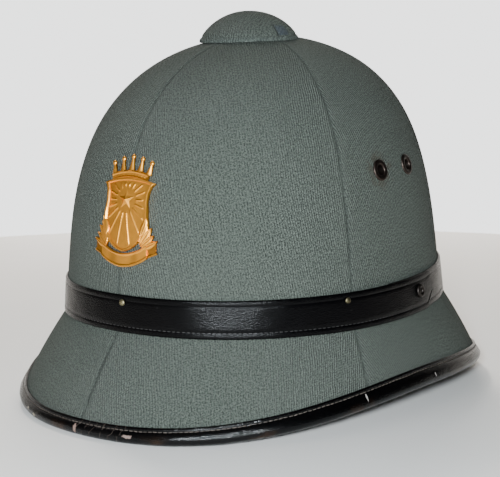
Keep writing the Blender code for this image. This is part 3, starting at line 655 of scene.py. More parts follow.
def badge_coronet():
    """A circlet with two raised bands under five tapered points, each with a ball."""
    half = CIRCLET_WIDTH * BADGE_WIDTH / 2
    tall = CIRCLET_HEIGHT * BADGE_HEIGHT
    low = SHIELD_TOP * BADGE_HEIGHT - 0.0005
    across, up = np.meshgrid(np.linspace(-1, 1, 61), np.linspace(0, 1, 29), indexing="ij")
    x = half * across * (1 + 0.10 * up)
    y = low + tall * up - CIRCLET_ARCH * BADGE_HEIGHT * across ** 2
    raised = 0.35 + 0.6 * (bump_at(up, 0.2, 0.11) + bump_at(up, 0.8, 0.11))
    raised += 0.25 * np.clip(np.cos(across * 12 * math.pi), 0, 1) * bump_at(up, 0.5, 0.12)
    parts = [badge_patch(x, y, BADGE_PLATE + BADGE_RELIEF * raised)]
    for side in (-1.0, -0.5, 0.0, 0.5, 1.0):
        foot = low + tall - CIRCLET_ARCH * BADGE_HEIGHT * side ** 2 - 0.0005
        rise = (POINT_HEIGHT - 0.022 * abs(side)) * BADGE_HEIGHT
        lean = 0.25 * side * rise
        climb, off = np.meshgrid(np.linspace(0, 1, 13), np.linspace(-1, 1, 9), indexing="ij")
        wide = 0.20 * half * (1 - 0.7 * climb ** 0.7)
        x = half * side + lean * climb + wide * off
        y = foot + 0.92 * rise * climb
        z = BADGE_PLATE * 0.8 + BADGE_RELIEF * (0.15 + 0.75 * (1 - off ** 2))
        parts.append(badge_patch(x, y, z, 0.0003))
        parts.append(badge_ball(half * side + lean, foot + rise, BALL_WIDTH * BADGE_WIDTH / 2))
    return parts


def badge_leaves():
    """Leaves whose half width is a sine of their length, domed, with a sunk midrib."""
    parts = []
    along, off = np.meshgrid(np.linspace(0, 1, 25), np.linspace(-1, 1, 13), indexing="ij")
    for side in (1, -1):
        for index, row in enumerate(LEAF_TABLE):
            leaf = dict(zip(LEAF_COLUMNS, row))
            turn = math.radians(leaf["turn"])
            long = leaf["length"] * BADGE_WIDTH
            wide = 0.20 * long * np.sin(math.pi * along ** 0.85) ** 0.8 * off
            x = leaf["across"] * BADGE_WIDTH + long * along * math.sin(turn) + wide * math.cos(turn)
            y = leaf["up"] * BADGE_HEIGHT + long * along * math.cos(turn) - wide * math.sin(turn)
            rib = 0.35 * bump_at(off, 0.0, 0.16)
            vein = 0.08 * np.cos((along * 9 - np.abs(off) * 1.5) * FULL_TURN) * np.abs(off)
            z = BADGE_PLATE * 0.85 + BADGE_RELIEF * (0.10 + 0.75 * (1 - off ** 2) - rib + vein)
            z += 0.00012 * index
            parts.append(badge_patch(side * x, y, z, 0.0003))
    return parts


def ribbon_border(up):
    """Two raised lines, one near each edge of the ribbon."""
    return bump_at(up, 0.10, 0.06) + bump_at(up, 0.90, 0.06)


def badge_ribbon():
    """A band along a parabola with raised borders, and a notched end each side behind it."""
    tall = RIBBON_HEIGHT * BADGE_HEIGHT
    foot = -BADGE_HEIGHT / 2
    across, up = np.meshgrid(np.linspace(-1, 1, 81), np.linspace(0, 1, 25), indexing="ij")
    x = RIBBON_WIDTH * BADGE_WIDTH / 2 * across
    y = foot + tall * up + RIBBON_CURVE * BADGE_HEIGHT * across ** 2
    raised = 0.25 + 0.5 * ribbon_border(up) + 0.12 * np.cos(across * 2.2 * math.pi)
    parts = [badge_patch(x, y, BADGE_PLATE + BADGE_RELIEF * raised)]
    along, up = np.meshgrid(np.linspace(0, 1, 31), np.linspace(0, 1, 25), indexing="ij")
    notch = 0.045 * (np.abs(up - 0.5) * 2 - 1) * fade(along, 0.9, 0.1)
    inner_end = RIBBON_WIDTH / 2 - 0.06
    x = (inner_end + (0.5 - inner_end) * along + notch) * BADGE_WIDTH
    y = foot + (0.072 + RIBBON_RISE * along) * BADGE_HEIGHT + tall * up
    raised = 0.25 + 0.5 * ribbon_border(up) + 0.3 * along
    z = 0.55 * BADGE_PLATE + 0.8 * BADGE_RELIEF * raised
    for side in (1, -1):
        parts.append(badge_patch(side * x, y, z, 0.0002))
    return parts


# Materials

def feed(tree, socket, value):
    """Sets a socket to a value, or links it to the socket that gives it."""
    if isinstance(value, bpy.types.NodeSocket):
        tree.links.new(value, socket)
    else:
        socket.default_value = value


def add(tree, kind, inputs=None, **settings):
    """A node with its settings; an input is a value or the socket that feeds it."""
    node = tree.nodes.new(kind)
    for name, value in settings.items():
        setattr(node, name, value)
    for name, value in (inputs or {}).items():
        feed(tree, node.inputs[name], value)
    return node


def maths(tree, operation, first, second=0.0, third=0.0, clamp=False):
    """The result of a Math node."""
    node = add(tree, "ShaderNodeMath", {0: first, 1: second, 2: third}, operation=operation,
               use_clamp=clamp)
    return node.outputs[0]


def noise(tree, vector, scale, detail=3.0, roughness=0.6):
    """The value of a noise texture."""
    return add(tree, "ShaderNodeTexNoise", {"Vector": vector, "Scale": scale, "Detail": detail,
                                            "Roughness": roughness}).outputs["Fac"]


def ramp(tree, value, low, high):
    """A value moved from the span low to high onto 0 to 1, smoothly."""
    return add(tree, "ShaderNodeMapRange", {"Value": value, "From Min": low, "From Max": high},
               interpolation_type="SMOOTHSTEP").outputs["Result"]


def blend(tree, factor, first, second):
    """The colour between two colours."""
    node = add(tree, "ShaderNodeMix", data_type="RGBA")
    for socket, value in ((0, factor), (6, first), (7, second)):
        feed(tree, node.inputs[socket], value)
    return node.outputs[2]


def tint(tree, base, mask, share, colour):
    """A base colour with a share of another laid over it where a mask says."""
    return blend(tree, maths(tree, "MULTIPLY", mask, share), base, rgba(colour))


def built_once(store):
    """Decorator for a maker of named data: what bpy.data already holds is used again."""
    def wrap(make):
        @functools.wraps(make)
        def get(name, *rest, **settings):
            return getattr(bpy.data, store).get(name) or make(name, *rest, **settings)
        return get
    return wrap


def stretch(tree, vector, scale):
    """A vector scaled by three factors."""
    return add(tree, "ShaderNodeMapping", {"Vector": vector, "Scale": scale}).outputs[0]


def rgba(colour):
    """A colour with full alpha."""
    return (*colour, 1.0)


def start_group(name, sockets_in, sockets_out):
    """A new shader node group with its input and output nodes."""
    tree = bpy.data.node_groups.new(name, "ShaderNodeTree")
    for socket, kind, value in sockets_in:
        made = tree.interface.new_socket(socket, in_out="INPUT", socket_type="NodeSocket" + kind)
        if value is not None:
            made.default_value = value
    for socket, kind in sockets_out:
        tree.interface.new_socket(socket, in_out="OUTPUT", socket_type="NodeSocket" + kind)
    return tree, tree.nodes.new("NodeGroupInput").outputs, tree.nodes.new("NodeGroupOutput").inputs


@built_once("node_groups")
def twill_group(name):
    """Weave height from slanted ribs and crossing threads, and a mottle of fibres."""
    tree, given, result = start_group(
        name, [("Vector", "Vector", None), ("Pitch", "Float", 0.001), ("Slant", "Float", 0.2)],
        [("Height", "Float"), ("Mottle", "Float"), ("Rib", "Float")])
    parts = add(tree, "ShaderNodeSeparateXYZ", {0: given["Vector"]}).outputs
    slanted = maths(tree, "MULTIPLY_ADD", parts[1], given["Slant"], parts[0])
    turns = maths(tree, "DIVIDE", slanted, given["Pitch"])
    drift = noise(tree, given["Vector"], scale=75.0, detail=2.0)
    turns = maths(tree, "MULTIPLY_ADD", drift, RIB_DRIFT, turns)
    rib = maths(tree, "SINE", maths(tree, "MULTIPLY", turns, FULL_TURN))
    cross = maths(tree, "DIVIDE", parts[1], maths(tree, "MULTIPLY", given["Pitch"], CROSS_SHARE))
    cross = maths(tree, "MULTIPLY_ADD", turns, 0.5, cross)
    thread = maths(tree, "SINE", maths(tree, "MULTIPLY", cross, FULL_TURN))
    fuzz = noise(tree, stretch(tree, given["Vector"], (1.0, 0.55, 1.0)), scale=2300.0, detail=2.0)
    height = maths(tree, "MULTIPLY_ADD", thread, 0.6, rib)
    height = maths(tree, "MULTIPLY_ADD", fuzz, 1.4, height)
    broad = noise(tree, given["Vector"], scale=1150.0, detail=2.0, roughness=0.7)
    mottle = maths(tree, "MULTIPLY_ADD", maths(tree, "SUBTRACT", broad, 0.5), 2.1, fuzz)
    lit = maths(tree, "MULTIPLY_ADD", maths(tree, "ADD", rib, thread), 0.25, 0.5)
    tree.links.new(height, result["Height"])
    tree.links.new(ramp(tree, mottle, low=0.34, high=0.66), result["Mottle"])
    tree.links.new(lit, result["Rib"])
    return tree


@built_once("node_groups")
def spot_group(name):
    """A soft-edged oval patch round a centre, broken up by noise."""
    tree, given, result = start_group(
        name, [("Vector", "Vector", None), ("Centre", "Vector", None), ("Size", "Vector", None),
               ("Grain", "Float", 900.0)], [("Mask", "Float")])
    away = add(tree, "ShaderNodeVectorMath", {0: given["Vector"], 1: given["Centre"]},
               operation="SUBTRACT").outputs[0]
    away = add(tree, "ShaderNodeVectorMath", {0: away, 1: given["Size"]},
               operation="DIVIDE").outputs[0]
    away = add(tree, "ShaderNodeVectorMath", {0: away}, operation="LENGTH").outputs["Value"]
    ragged = maths(tree, "SUBTRACT", noise(tree, given["Vector"], given["Grain"]), 0.5)
    edge = maths(tree, "MULTIPLY_ADD", ragged, 2.4, away)
    tree.links.new(ramp(tree, edge, low=1.1, high=0.7), result["Mask"])
    return tree


@built_once("node_groups")
def dust_group(name):
    """Specks and a thin film of dust as a mask."""
    tree, given, result = start_group(
        name, [("Vector", "Vector", None), ("Scale", "Float", 600.0), ("Amount", "Float", 0.3)],
        [("Mask", "Float")])
    specks = noise(tree, given["Vector"], given["Scale"], detail=2.0, roughness=0.8)
    broad = noise(tree, given["Vector"], scale=35.0)
    dusty = maths(tree, "MULTIPLY_ADD", maths(tree, "SUBTRACT", broad, 0.5), 0.5, specks)
    mask = maths(tree, "MULTIPLY", ramp(tree, dusty, low=0.60, high=0.80), given["Amount"],
                 clamp=True)
    tree.links.new(mask, result["Mask"])
    return tree


@built_once("node_groups")
def hide_group(name):
    """Leather: pores as cells, long scratches across the strap, and slow waves."""
    tree, given, result = start_group(
        name, [("Vector", "Vector", None), ("Pores", "Float", 1900.0),
               ("Across", "Vector", (1.0, 0.12, 1.0))], [("Height", "Float"), ("Scratch", "Float")])
    cells = add(tree, "ShaderNodeTexVoronoi", {"Vector": given["Vector"], "Scale": given["Pores"]},
                feature="F1").outputs["Distance"]
    slow = noise(tree, given["Vector"], scale=90.0)
    drawn = add(tree, "ShaderNodeVectorMath", {0: given["Vector"], 1: given["Across"]},
                operation="MULTIPLY").outputs[0]
    lines = noise(tree, drawn, scale=1400.0, detail=4.0, roughness=0.7)
    place = noise(tree, given["Vector"], scale=60.0, detail=2.0)
    scratch = maths(tree, "MULTIPLY", ramp(tree, lines, low=0.64, high=0.74),
                    ramp(tree, place, low=0.48, high=0.62))
    height = maths(tree, "MULTIPLY_ADD", slow, 0.9, maths(tree, "MULTIPLY", cells, 1.6))
    height = maths(tree, "MULTIPLY_ADD", scratch, -0.5, height)
    tree.links.new(height, result["Height"])
    tree.links.new(scratch, result["Scratch"])
    return tree


@built_once("node_groups")
def crack_group(name):
    """Thin slanted lines at a spacing along u, wavy and broken up by noise."""
    tree, given, result = start_group(
        name, [("Vector", "Vector", None), ("Spacing", "Float", 0.0050), ("Slant", "Float", 0.45)],
        [("Mask", "Float")])
    parts = add(tree, "ShaderNodeSeparateXYZ", {0: given["Vector"]}).outputs
    slanted = maths(tree, "MULTIPLY_ADD", parts[1], given["Slant"], parts[0])
    turns = maths(tree, "DIVIDE", slanted, given["Spacing"])
    wander = noise(tree, given["Vector"], scale=110.0, detail=2.0)
    turns = maths(tree, "MULTIPLY_ADD", wander, 1.6, turns)
    line = maths(tree, "SINE", maths(tree, "MULTIPLY", turns, FULL_TURN))
    broken = noise(tree, given["Vector"], scale=260.0, detail=2.0)
    mask = maths(tree, "MULTIPLY", ramp(tree, line, low=0.985, high=1.0),
                 ramp(tree, broken, low=0.38, high=0.50))
    tree.links.new(mask, result["Mask"])
    return tree


def place_group(tree, group, inputs):
    """The outputs of a group node with its inputs set."""
    return add(tree, "ShaderNodeGroup", inputs, node_tree=group).outputs


def start_material(name):
    """A new material with its node tree and Principled shader."""
    made = bpy.data.materials.new(name)
    made.use_nodes = True
    return made, made.node_tree, made.node_tree.nodes["Principled BSDF"]


def finish_bump(tree, shader, height, strength, distance):
    """Feeds a height to the shader's normal."""
    bump = add(tree, "ShaderNodeBump",
               {"Height": height, "Strength": strength, "Distance": distance})
    tree.links.new(bump.outputs[0], shader.inputs["Normal"])


def mask_of(tree, name):
    """The value of a mesh attribute."""
    return add(tree, "ShaderNodeAttribute", attribute_name=name).outputs["Fac"]


@built_once("materials")
def twill_material(name, button=False):
    """Grey-green twill: mottled threads, ribs, dark seam lines, rust round one eyelet."""
    cloth = bpy.context.scene.helmet_cloth
    made, tree, shader = start_material(name)
    coords = add(tree, "ShaderNodeTexCoord").outputs
    weave = place_group(tree, twill_group("twill_weave"), {
        "Vector": coords["UV"], "Pitch": cloth.rib_pitch, "Slant": cloth.rib_slant})
    base = blend(tree, weave["Mottle"], rgba(cloth.dark_thread), rgba(cloth.light_thread))
    base = tint(tree, base, weave["Rib"], 0.70, cloth.light_thread)
    broad = ramp(tree, noise(tree, coords["Object"], scale=14.0, detail=4.0), low=0.35, high=0.70)
    base = tint(tree, base, broad, 0.22, cloth.faded)
    uneven = ramp(tree, noise(tree, coords["Object"], scale=55.0), low=0.35, high=0.65)
    seam = maths(tree, "MULTIPLY", mask_of(tree, "seam"),
                 maths(tree, "MULTIPLY_ADD", uneven, 0.35, 0.15))
    base = blend(tree, seam, base, rgba(SEAM_SHADOW))
    base = tint(tree, base, mask_of(tree, "ridge"), 0.18, cloth.faded)
    # Button tints: a paler hem, a bluish patch, and a painted shade line down the fold
    if button:
        for mask, share, colour in BUTTON_TINTS:
            base = tint(tree, base, mask_of(tree, mask), share, colour)
    else:
        seat = crown_surface(math.radians(EYELET_ANGLES["front"]), EYELET_LEVEL)
        stain = place_group(tree, spot_group("soft_patch"), {
            "Vector": coords["Object"], "Centre": tuple(seat), "Size": RUST_SIZE,
            "Grain": 260.0})["Mask"]
        base = tint(tree, base, stain, 0.45, RUST)
    dust = place_group(tree, dust_group("dust"), {"Vector": coords["Object"], "Scale": 900.0,
                                                  "Amount": 0.12})["Mask"]
    base = blend(tree, dust, base, rgba(CLOTH_DUST))
    tree.links.new(base, shader.inputs["Base Color"])
    shader.inputs["Roughness"].default_value = 0.92
    shader.inputs["Specular IOR Level"].default_value = 0.20
    shader.inputs["Sheen Weight"].default_value = cloth.sheen
    shader.inputs["Sheen Roughness"].default_value = 0.5
    finish_bump(tree, shader, weave["Height"], strength=0.9, distance=0.00030)
    return made


@built_once("materials")
def leather_material(name, across, roughness, gloss, spots=(), cracked=(), brown=0.0):
    """Black glossy leather: pores, scratches, dust, worn places that show paler hide, and painted
    sheen: brown along the bead's crest and one brownish-grey spot.
    """
    leather = bpy.context.scene.helmet_leather
    made, tree, shader = start_material(name)
    coords = add(tree, "ShaderNodeTexCoord").outputs
    hide = place_group(tree, hide_group("leather_hide"), {"Vector": coords["UV"],
                                                          "Across": across})
    dust = place_group(tree, dust_group("dust"), {"Vector": coords["UV"], "Scale": 1300.0,
                                                  "Amount": 0.035})["Mask"]
    base = tint(tree, rgba(leather.black), hide["Scratch"], 0.55, leather.scratched)
    base = blend(tree, dust, base, rgba(LEATHER_DUST))
    # Painted sheen: a brown tint laid in noisy patches along the bead's crest
    if brown:
        patches = ramp(tree, noise(tree, coords["UV"], scale=38.0), low=0.52, high=0.66)
        crest = maths(tree, "MULTIPLY", patches, mask_of(tree, "crest"))
        base = tint(tree, base, crest, brown, leather.brown)
    for centre, size in cracked:
        lines = place_group(tree, crack_group("leather_cracks"), {"Vector": coords["UV"]})["Mask"]
        area = place_group(tree, spot_group("soft_patch"), {
            "Vector": coords["UV"], "Centre": centre, "Size": size, "Grain": 120.0})["Mask"]
        base = tint(tree, base, maths(tree, "MULTIPLY", lines, area), 0.42, CRACK)
    worn_and_sheen = None
    # Paler chips of hide, and the painted sheen spot, blended in over soft patches
    for centre, size, colour in spots:
        mask = place_group(tree, spot_group("soft_patch"), {
            "Vector": coords["UV"], "Centre": centre, "Size": size, "Grain": 620.0})["Mask"]
        base = blend(tree, mask, base, rgba(colour))
        worn_and_sheen = mask if worn_and_sheen is None else maths(tree, "MAXIMUM", worn_and_sheen, mask)
    tree.links.new(base, shader.inputs["Base Color"])
    cloudy = noise(tree, coords["UV"], scale=70.0)
    rough = maths(tree, "MULTIPLY_ADD", cloudy, 0.16, roughness - 0.08)
    rough = maths(tree, "MULTIPLY_ADD", hide["Scratch"], 0.25, rough)
    rough = maths(tree, "MULTIPLY_ADD", dust, 0.6, rough)
    if worn_and_sheen is not None:
        rough = maths(tree, "MULTIPLY_ADD", worn_and_sheen, 0.5, rough, clamp=True)
    tree.links.new(rough, shader.inputs["Roughness"])
    shader.inputs["Specular IOR Level"].default_value = gloss
    finish_bump(tree, shader, hide["Height"], strength=0.6, distance=0.00012)
    return made


@built_once("materials")
def metal_material(name, colour, dull, roughness, relief=False):
    """Metal with tarnish in its recesses and a slightly uneven polish."""
    made, tree, shader = start_material(name)
    coords = add(tree, "ShaderNodeTexCoord").outputs
    cloudy = noise(tree, coords["Object"], scale=160.0, detail=4.0, roughness=0.65)
    base = tint(tree, rgba(colour), ramp(tree, cloudy, low=0.38, high=0.72), 0.15, dull)
    if relief:
        recess = ramp(tree, mask_of(tree, "relief"), low=0.30, high=-0.05)
        base = tint(tree, base, recess, 0.65, dull)
    tree.links.new(base, shader.inputs["Base Color"])
    shader.inputs["Metallic"].default_value = 1.0
    rough = maths(tree, "MULTIPLY_ADD", noise(tree, coords["Object"], scale=420.0), 0.20,
                  roughness - 0.10)
    tree.links.new(rough, shader.inputs["Roughness"])
    grain = noise(tree, coords["Object"], scale=1500.0, detail=2.0)
    finish_bump(tree, shader, grain, strength=0.25, distance=0.00006)
    return made


@built_once("materials")
def thread_material(name, colour, roughness):
    """Waxed thread, mottled along its length."""
    made, tree, shader = start_material(name)
    coords = add(tree, "ShaderNodeTexCoord").outputs
    cloudy = ramp(tree, noise(tree, coords["Object"], scale=260.0), low=0.35, high=0.65)
    dark = tuple(0.35 * value for value in colour)
    tree.links.new(blend(tree, cloudy, rgba(dark), rgba(colour)), shader.inputs["Base Color"])
    shader.inputs["Roughness"].default_value = roughness
    grain = noise(tree, coords["Object"], scale=3500.0, detail=1.0)
    finish_bump(tree, shader, grain, strength=0.4, distance=0.00008)
    return made


def stitches(path, normal, pitch, length, radius, seed):
    """Short capsules laid end to end along a path; the radius falls off as a fourth power."""
    steps = np.linalg.norm(np.diff(path, axis=0), axis=1)
    run = np.append(0.0, np.cumsum(steps))
    count = int(run[-1] / pitch)
    rng = np.random.default_rng(seed)
    at = (np.arange(count) + 0.5) * (run[-1] / count) + rng.normal(0, 0.04 * pitch, count)

    def along_path(values, place):
        """Three coordinates read off along the path's length."""
        return np.stack([np.interp(place, run, values[:, axis]) for axis in range(3)], -1)

    centre = along_path(path, at)
    lift = unit(along_path(normal, at))
    along = unit(along_path(path, at + 0.0004) - along_path(path, at - 0.0004))
    side = unit(np.cross(lift, along))
    along = unit(along + side * rng.normal(0, 0.05, (count, 1)))
    reach = np.array([-1.0, -0.93, -0.6, 0.0, 0.6, 0.93, 1.0])
    thick = radius * np.sqrt(np.clip(1 - reach ** 4, 0, 1))
    ring = np.arange(STITCH_SIDES) * (FULL_TURN / STITCH_SIDES)
    place = (reach * length / 2)[None, :, None, None]
    shape = centre[:, None, None, :] + along[:, None, None, :] * place
    shape = shape + side[:, None, None, :] * (thick[:, None] * np.cos(ring))[None, :, :, None]
    shape = shape + lift[:, None, None, :] * (thick[:, None] * np.sin(ring))[None, :, :, None]
    one = quads(len(reach), STITCH_SIDES, wrap=True)
    first = np.arange(count) * (len(reach) * STITCH_SIDES)
    return shape.reshape(-1, 3), (one[None] + first[:, None, None]).reshape(-1, 4)


def rim_spots(run, girth, angles, table):
    """Places of the worn spots, and of the painted sheen spot, on the binding's own length and
    girth.
    """
    spots = []
    for row in table:
        spot = dict(zip(SPOT_COLUMNS, row))
        turn = math.radians(spot["angle"]) % (FULL_TURN)
        column = int(np.argmin(np.abs(angles - turn)))
        face = girth[column, 18] - girth[column, 1]
        height = girth[column, 1] + spot["share"] * face
        spots.append(((float(run[column]), float(height), 0.0), (spot["long"], spot["tall"], 1.0),
                      spot["colour"]))
    return spots


class HelmetCloth(bpy.types.PropertyGroup):
    """Cloth sizes and colours."""
    dark_thread: FloatVectorProperty(
        name="Dark thread", description="Darker of the cloth's two threads",
        default=(0.0035, 0.0055, 0.0045), subtype="COLOR", min=0, max=1)
    light_thread: FloatVectorProperty(
        name="Light thread", description="Lighter of the two threads",
        default=(0.103, 0.121, 0.102), subtype="COLOR", min=0, max=1)
    faded: FloatVectorProperty(
        name="Faded cloth", description="Colour of rubbed and faded places",
        default=(0.090, 0.102, 0.088), subtype="COLOR", min=0, max=1)
    rib_pitch: FloatProperty(
        name="Rib pitch", description="Distance from rib to rib of the twill",
        default=0.00128, min=0.0003, max=0.003, unit="LENGTH")
    rib_slant: FloatProperty(
        name="Rib slant", description="Sideways run of a rib for each unit of height",
        default=0.22, min=-1.0, max=1.0)
    seam_depth: FloatProperty(
        name="Seam depth", description="Depth of the pressed groove at a seam",
        default=0.00035, min=0.0, max=0.002, unit="LENGTH")
    sheen: FloatProperty(
        name="Sheen", description="Soft light that the cloth's nap throws back",
        default=0.03, min=0.0, max=1.0, subtype="FACTOR")


class HelmetLeather(bpy.types.PropertyGroup):
    """Leather sizes and colours."""
    black: FloatVectorProperty(
        name="Black", description="Colour of the sound leather",
        default=(0.0006, 0.0006, 0.0008), subtype="COLOR", min=0, max=1)
    scratched: FloatVectorProperty(
        name="Scratched", description="Colour of scratches in the leather",
        default=(0.095, 0.090, 0.085), subtype="COLOR", min=0, max=1)
    # Colour of the painted brown sheen along the binding's bead
    brown: FloatVectorProperty(
        name="Rubbed brown", description="Colour where the dye is rubbed off",
        default=(0.090, 0.045, 0.022), subtype="COLOR", min=0, max=1)
    thread: FloatVectorProperty(
        name="Thread", description="Colour of the rim's stitching",
        default=(0.085, 0.068, 0.056), subtype="COLOR", min=0, max=1)
    stitch_pitch: FloatProperty(
        name="Stitch pitch", description="Distance from stitch to stitch",
        default=0.0024, min=0.001, max=0.01, unit="LENGTH")


class HelmetMetal(bpy.types.PropertyGroup):
    """Colours of the metal fittings."""
    gilt: FloatVectorProperty(
        name="Gilt", description="Polished gilt of the badge",
        default=(0.96, 0.43, 0.055), subtype="COLOR", min=0, max=1)
    tarnish: FloatVectorProperty(
        name="Tarnish", description="Gilt in the badge's recesses",
        default=(0.16, 0.060, 0.010), subtype="COLOR", min=0, max=1)
    dark: FloatVectorProperty(
        name="Dark metal", description="Eyelets and stud",
        default=(0.055, 0.042, 0.036), subtype="COLOR", min=0, max=1)
    brass: FloatVectorProperty(
        name="Pin brass", description="Dull brass of the band's pins",
        default=(0.24, 0.21, 0.12), subtype="COLOR", min=0, max=1)


class HelmetStage(bpy.types.PropertyGroup):
    """Floor and light."""
    floor: FloatVectorProperty(
        name="Floor", description="Colour of the floor",
        default=(0.93, 0.915, 0.885), subtype="COLOR", min=0, max=1)
    floor_radius: FloatProperty(
        name="Floor radius", description="Reach of the round floor",
        default=0.62, min=0.3, max=10.0, unit="LENGTH")
    flash: FloatProperty(
        name="Flash", description="Power of the small light beside the camera",
        default=8.7, min=0.0, max=100.0, unit="POWER")
    fill: FloatProperty(
        name="Fill", description="Power of the large light overhead",
        default=1.4, min=0.0, max=200.0, unit="POWER")
    back: FloatProperty(
        name="Back light", description="Power of the soft light behind the helmet",
        default=20.0, min=0.0, max=200.0, unit="POWER")
    sky: FloatProperty(
        name="Room light", description="Strength of the even light of the room",
        default=0.08, min=0.0, max=5.0)
    window: FloatProperty(
        name="Window", description="Power of the high light behind on the left",
        default=7.5, min=0.0, max=200.0, unit="POWER")
    glare: FloatProperty(
        name="Glare", description="Brightness of the wall that glossy leather mirrors",
        default=1.6, min=0.0, max=5.0)
    card: FloatProperty(
        name="Card", description="Brightness of the pale card that the badge mirrors",
        default=0.55, min=0.0, max=5.0)
    wall: FloatProperty(
        name="Wall light", description="Strength of the light from behind the helmet",
        default=0.45, min=0.0, max=5.0)
    backdrop: FloatProperty(
        name="Backdrop", description="Brightness of the backdrop behind the floor",
        default=2.9, min=0.0, max=5.0)


def sides_of(zone):
    """The two panels of a zone: name of the side, start and end angle."""
    start, end = ZONES[zone]
    return (("left", start, end), ("right", -end, -start))


class HELMET_OT_crown(bpy.types.Operator):
    """Six gores of cloth over the crown, with the vent holes in the side gores"""
    bl_idname = "helmet.crown"
    bl_label = "Crown gores"

    def execute(self, context):
        finish = twill_material("helmet_twill")
        for zone in ZONES:
            for side, start, end in sides_of(zone):
                name = f"{zone}_{side}"
                piece = cloth_panel(f"cloth_gore_{name}", crown_surface, start, end,
                                    crown_levels(CROWN_ROWS), finish, f"crown_gore_{name}")
                if zone == "side":
                    for degrees in EYELET_ANGLES.values():
                        turn = math.radians(degrees) * (1 if side == "left" else -1)
                        drill(piece, crown_surface(turn, EYELET_LEVEL),
                              outward(crown_surface, np.asarray(turn), EYELET_LEVEL),
                              EYELET_BORE + EYELET_BARREL + FIT_GAP)
        return {"FINISHED"}


class HELMET_OT_brim(bpy.types.Operator):
    """Six panels of cloth over the brim"""
    bl_idname = "helmet.brim"
    bl_label = "Brim panels"

    def execute(self, context):
        finish = twill_material("helmet_twill")
        shares = np.linspace(0.0, 1.0, BRIM_ROWS + 1)
        for zone in ZONES:
            for side, start, end in sides_of(zone):
                cloth_panel(f"cloth_brim_{zone}_{side}", brim_surface, start, end, shares,
                            finish, f"brim_panel_{zone}_{side}")
        return {"FINISHED"}


class HELMET_OT_button(bpy.types.Operator):
    """The covered top button: a low dome with a turned hem, on its stem"""
    bl_idname = "helmet.button"
    bl_label = "Top button"

    def execute(self, context):
        apex = crown_surface(0.0, 1.0)
        axis = np.array([0.0, -math.sin(TOP_TILT), math.cos(TOP_TILT)])
        ahead = np.array([0.0, -math.cos(TOP_TILT), -math.sin(TOP_TILT)])
        foot = apex + ahead * BUTTON_FORWARD - axis * BUTTON_SINK
        climb = np.linspace(math.pi / 2, 0.0, 72)
        height = BUTTON_RISE * np.sin(climb) ** 1.15
        radius = BUTTON_RADIUS * np.sqrt(1.0 - (height / BUTTON_RISE) ** BUTTON_FULLNESS)
        swell = 0.00025 * bump_at(height, 0.0011, 0.0009)
        swell = swell - 0.00035 * bump_at(height, 0.0027, 0.0004)
        ring = np.arange(BUTTON_SIDES) * (FULL_TURN / BUTTON_SIDES)
        spokes = np.sin(ring)[:, None] * np.array([1.0, 0.0, 0.0]) + np.cos(ring)[:, None] * ahead
        folds = 0.00010 * np.sin(ring * 23 + 2 * np.sin(ring * 3))
        grow = radius[:, None] + swell[:, None]
        grow = grow + folds * bump_at(height, 0.002, 0.003)[:, None]
        pinch = bump_at(ring, math.radians(78), 0.035) * bump_at(height, 0.0065, 0.0035)[:, None]
        grow = grow - 0.0008 * pinch
        dome = foot + grow[..., None] * spokes + height[:, None, None] * axis
        dome += axis * (0.00010 * waves(dome, 0.02, 8))[..., None]
        under = np.array([0.985, 0.95, 0.75, 0.4, 0.0]) * BUTTON_RADIUS
        drop = np.array([-0.0002, 0.0, 0.0002, 0.0002, 0.0002])
        below = foot + under[:, None, None] * spokes + drop[:, None, None] * axis
        grid = np.concatenate([dome, below])
        hem = np.concatenate([bump_at(height, 0.0010, 0.0012), [0.8, 0.2, 0, 0, 0]])
        band = fade(height, 0.0018, 0.0008) * fade(height, 0.0088, -0.0014)
        # Painted shade: mask of a dark line down the pinched fold
        tuck_shade = bump_at(ring, math.radians(77), 0.022) * band[:, None]
        patch = fade(ring, math.radians(78), 0.02) * fade(ring, math.radians(99), -0.1)
        patch = patch * fade(height, 0.0024, 0.0006)[:, None]
        patch = patch * fade(height, 0.0080, -0.0012)[:, None]
        stem = turned([(0, -SHELL_WALL), (STEM_RADIUS, -SHELL_WALL),
                       (STEM_RADIUS, STEM_SHARE * BUTTON_RISE), (0, STEM_SHARE * BUTTON_RISE)],
                      apex, axis, 48)
        shell = quads(len(grid), BUTTON_SIDES, wrap=True)
        parts = [(grid.reshape(-1, 3), shell, np.repeat(hem, BUTTON_SIDES)), (*stem, 0.0)]
        points, faces, hem = gather(parts)
        uv = np.stack([points[:, 0], points[:, 1] + points[:, 2] * 0.6], -1)
        rest = np.zeros(len(points) - tuck_shade.size)
        masks = {"hem": hem, "seam": 0 * hem, "tuck_shade": np.append(tuck_shade.ravel(), rest),
                 "patch": np.append(patch.ravel(), rest)}
        make_piece("button_cover", points, faces, twill_material("twill_button", button=True),
                   ["top_button"], uv=uv, masks=masks)
        return {"FINISHED"}


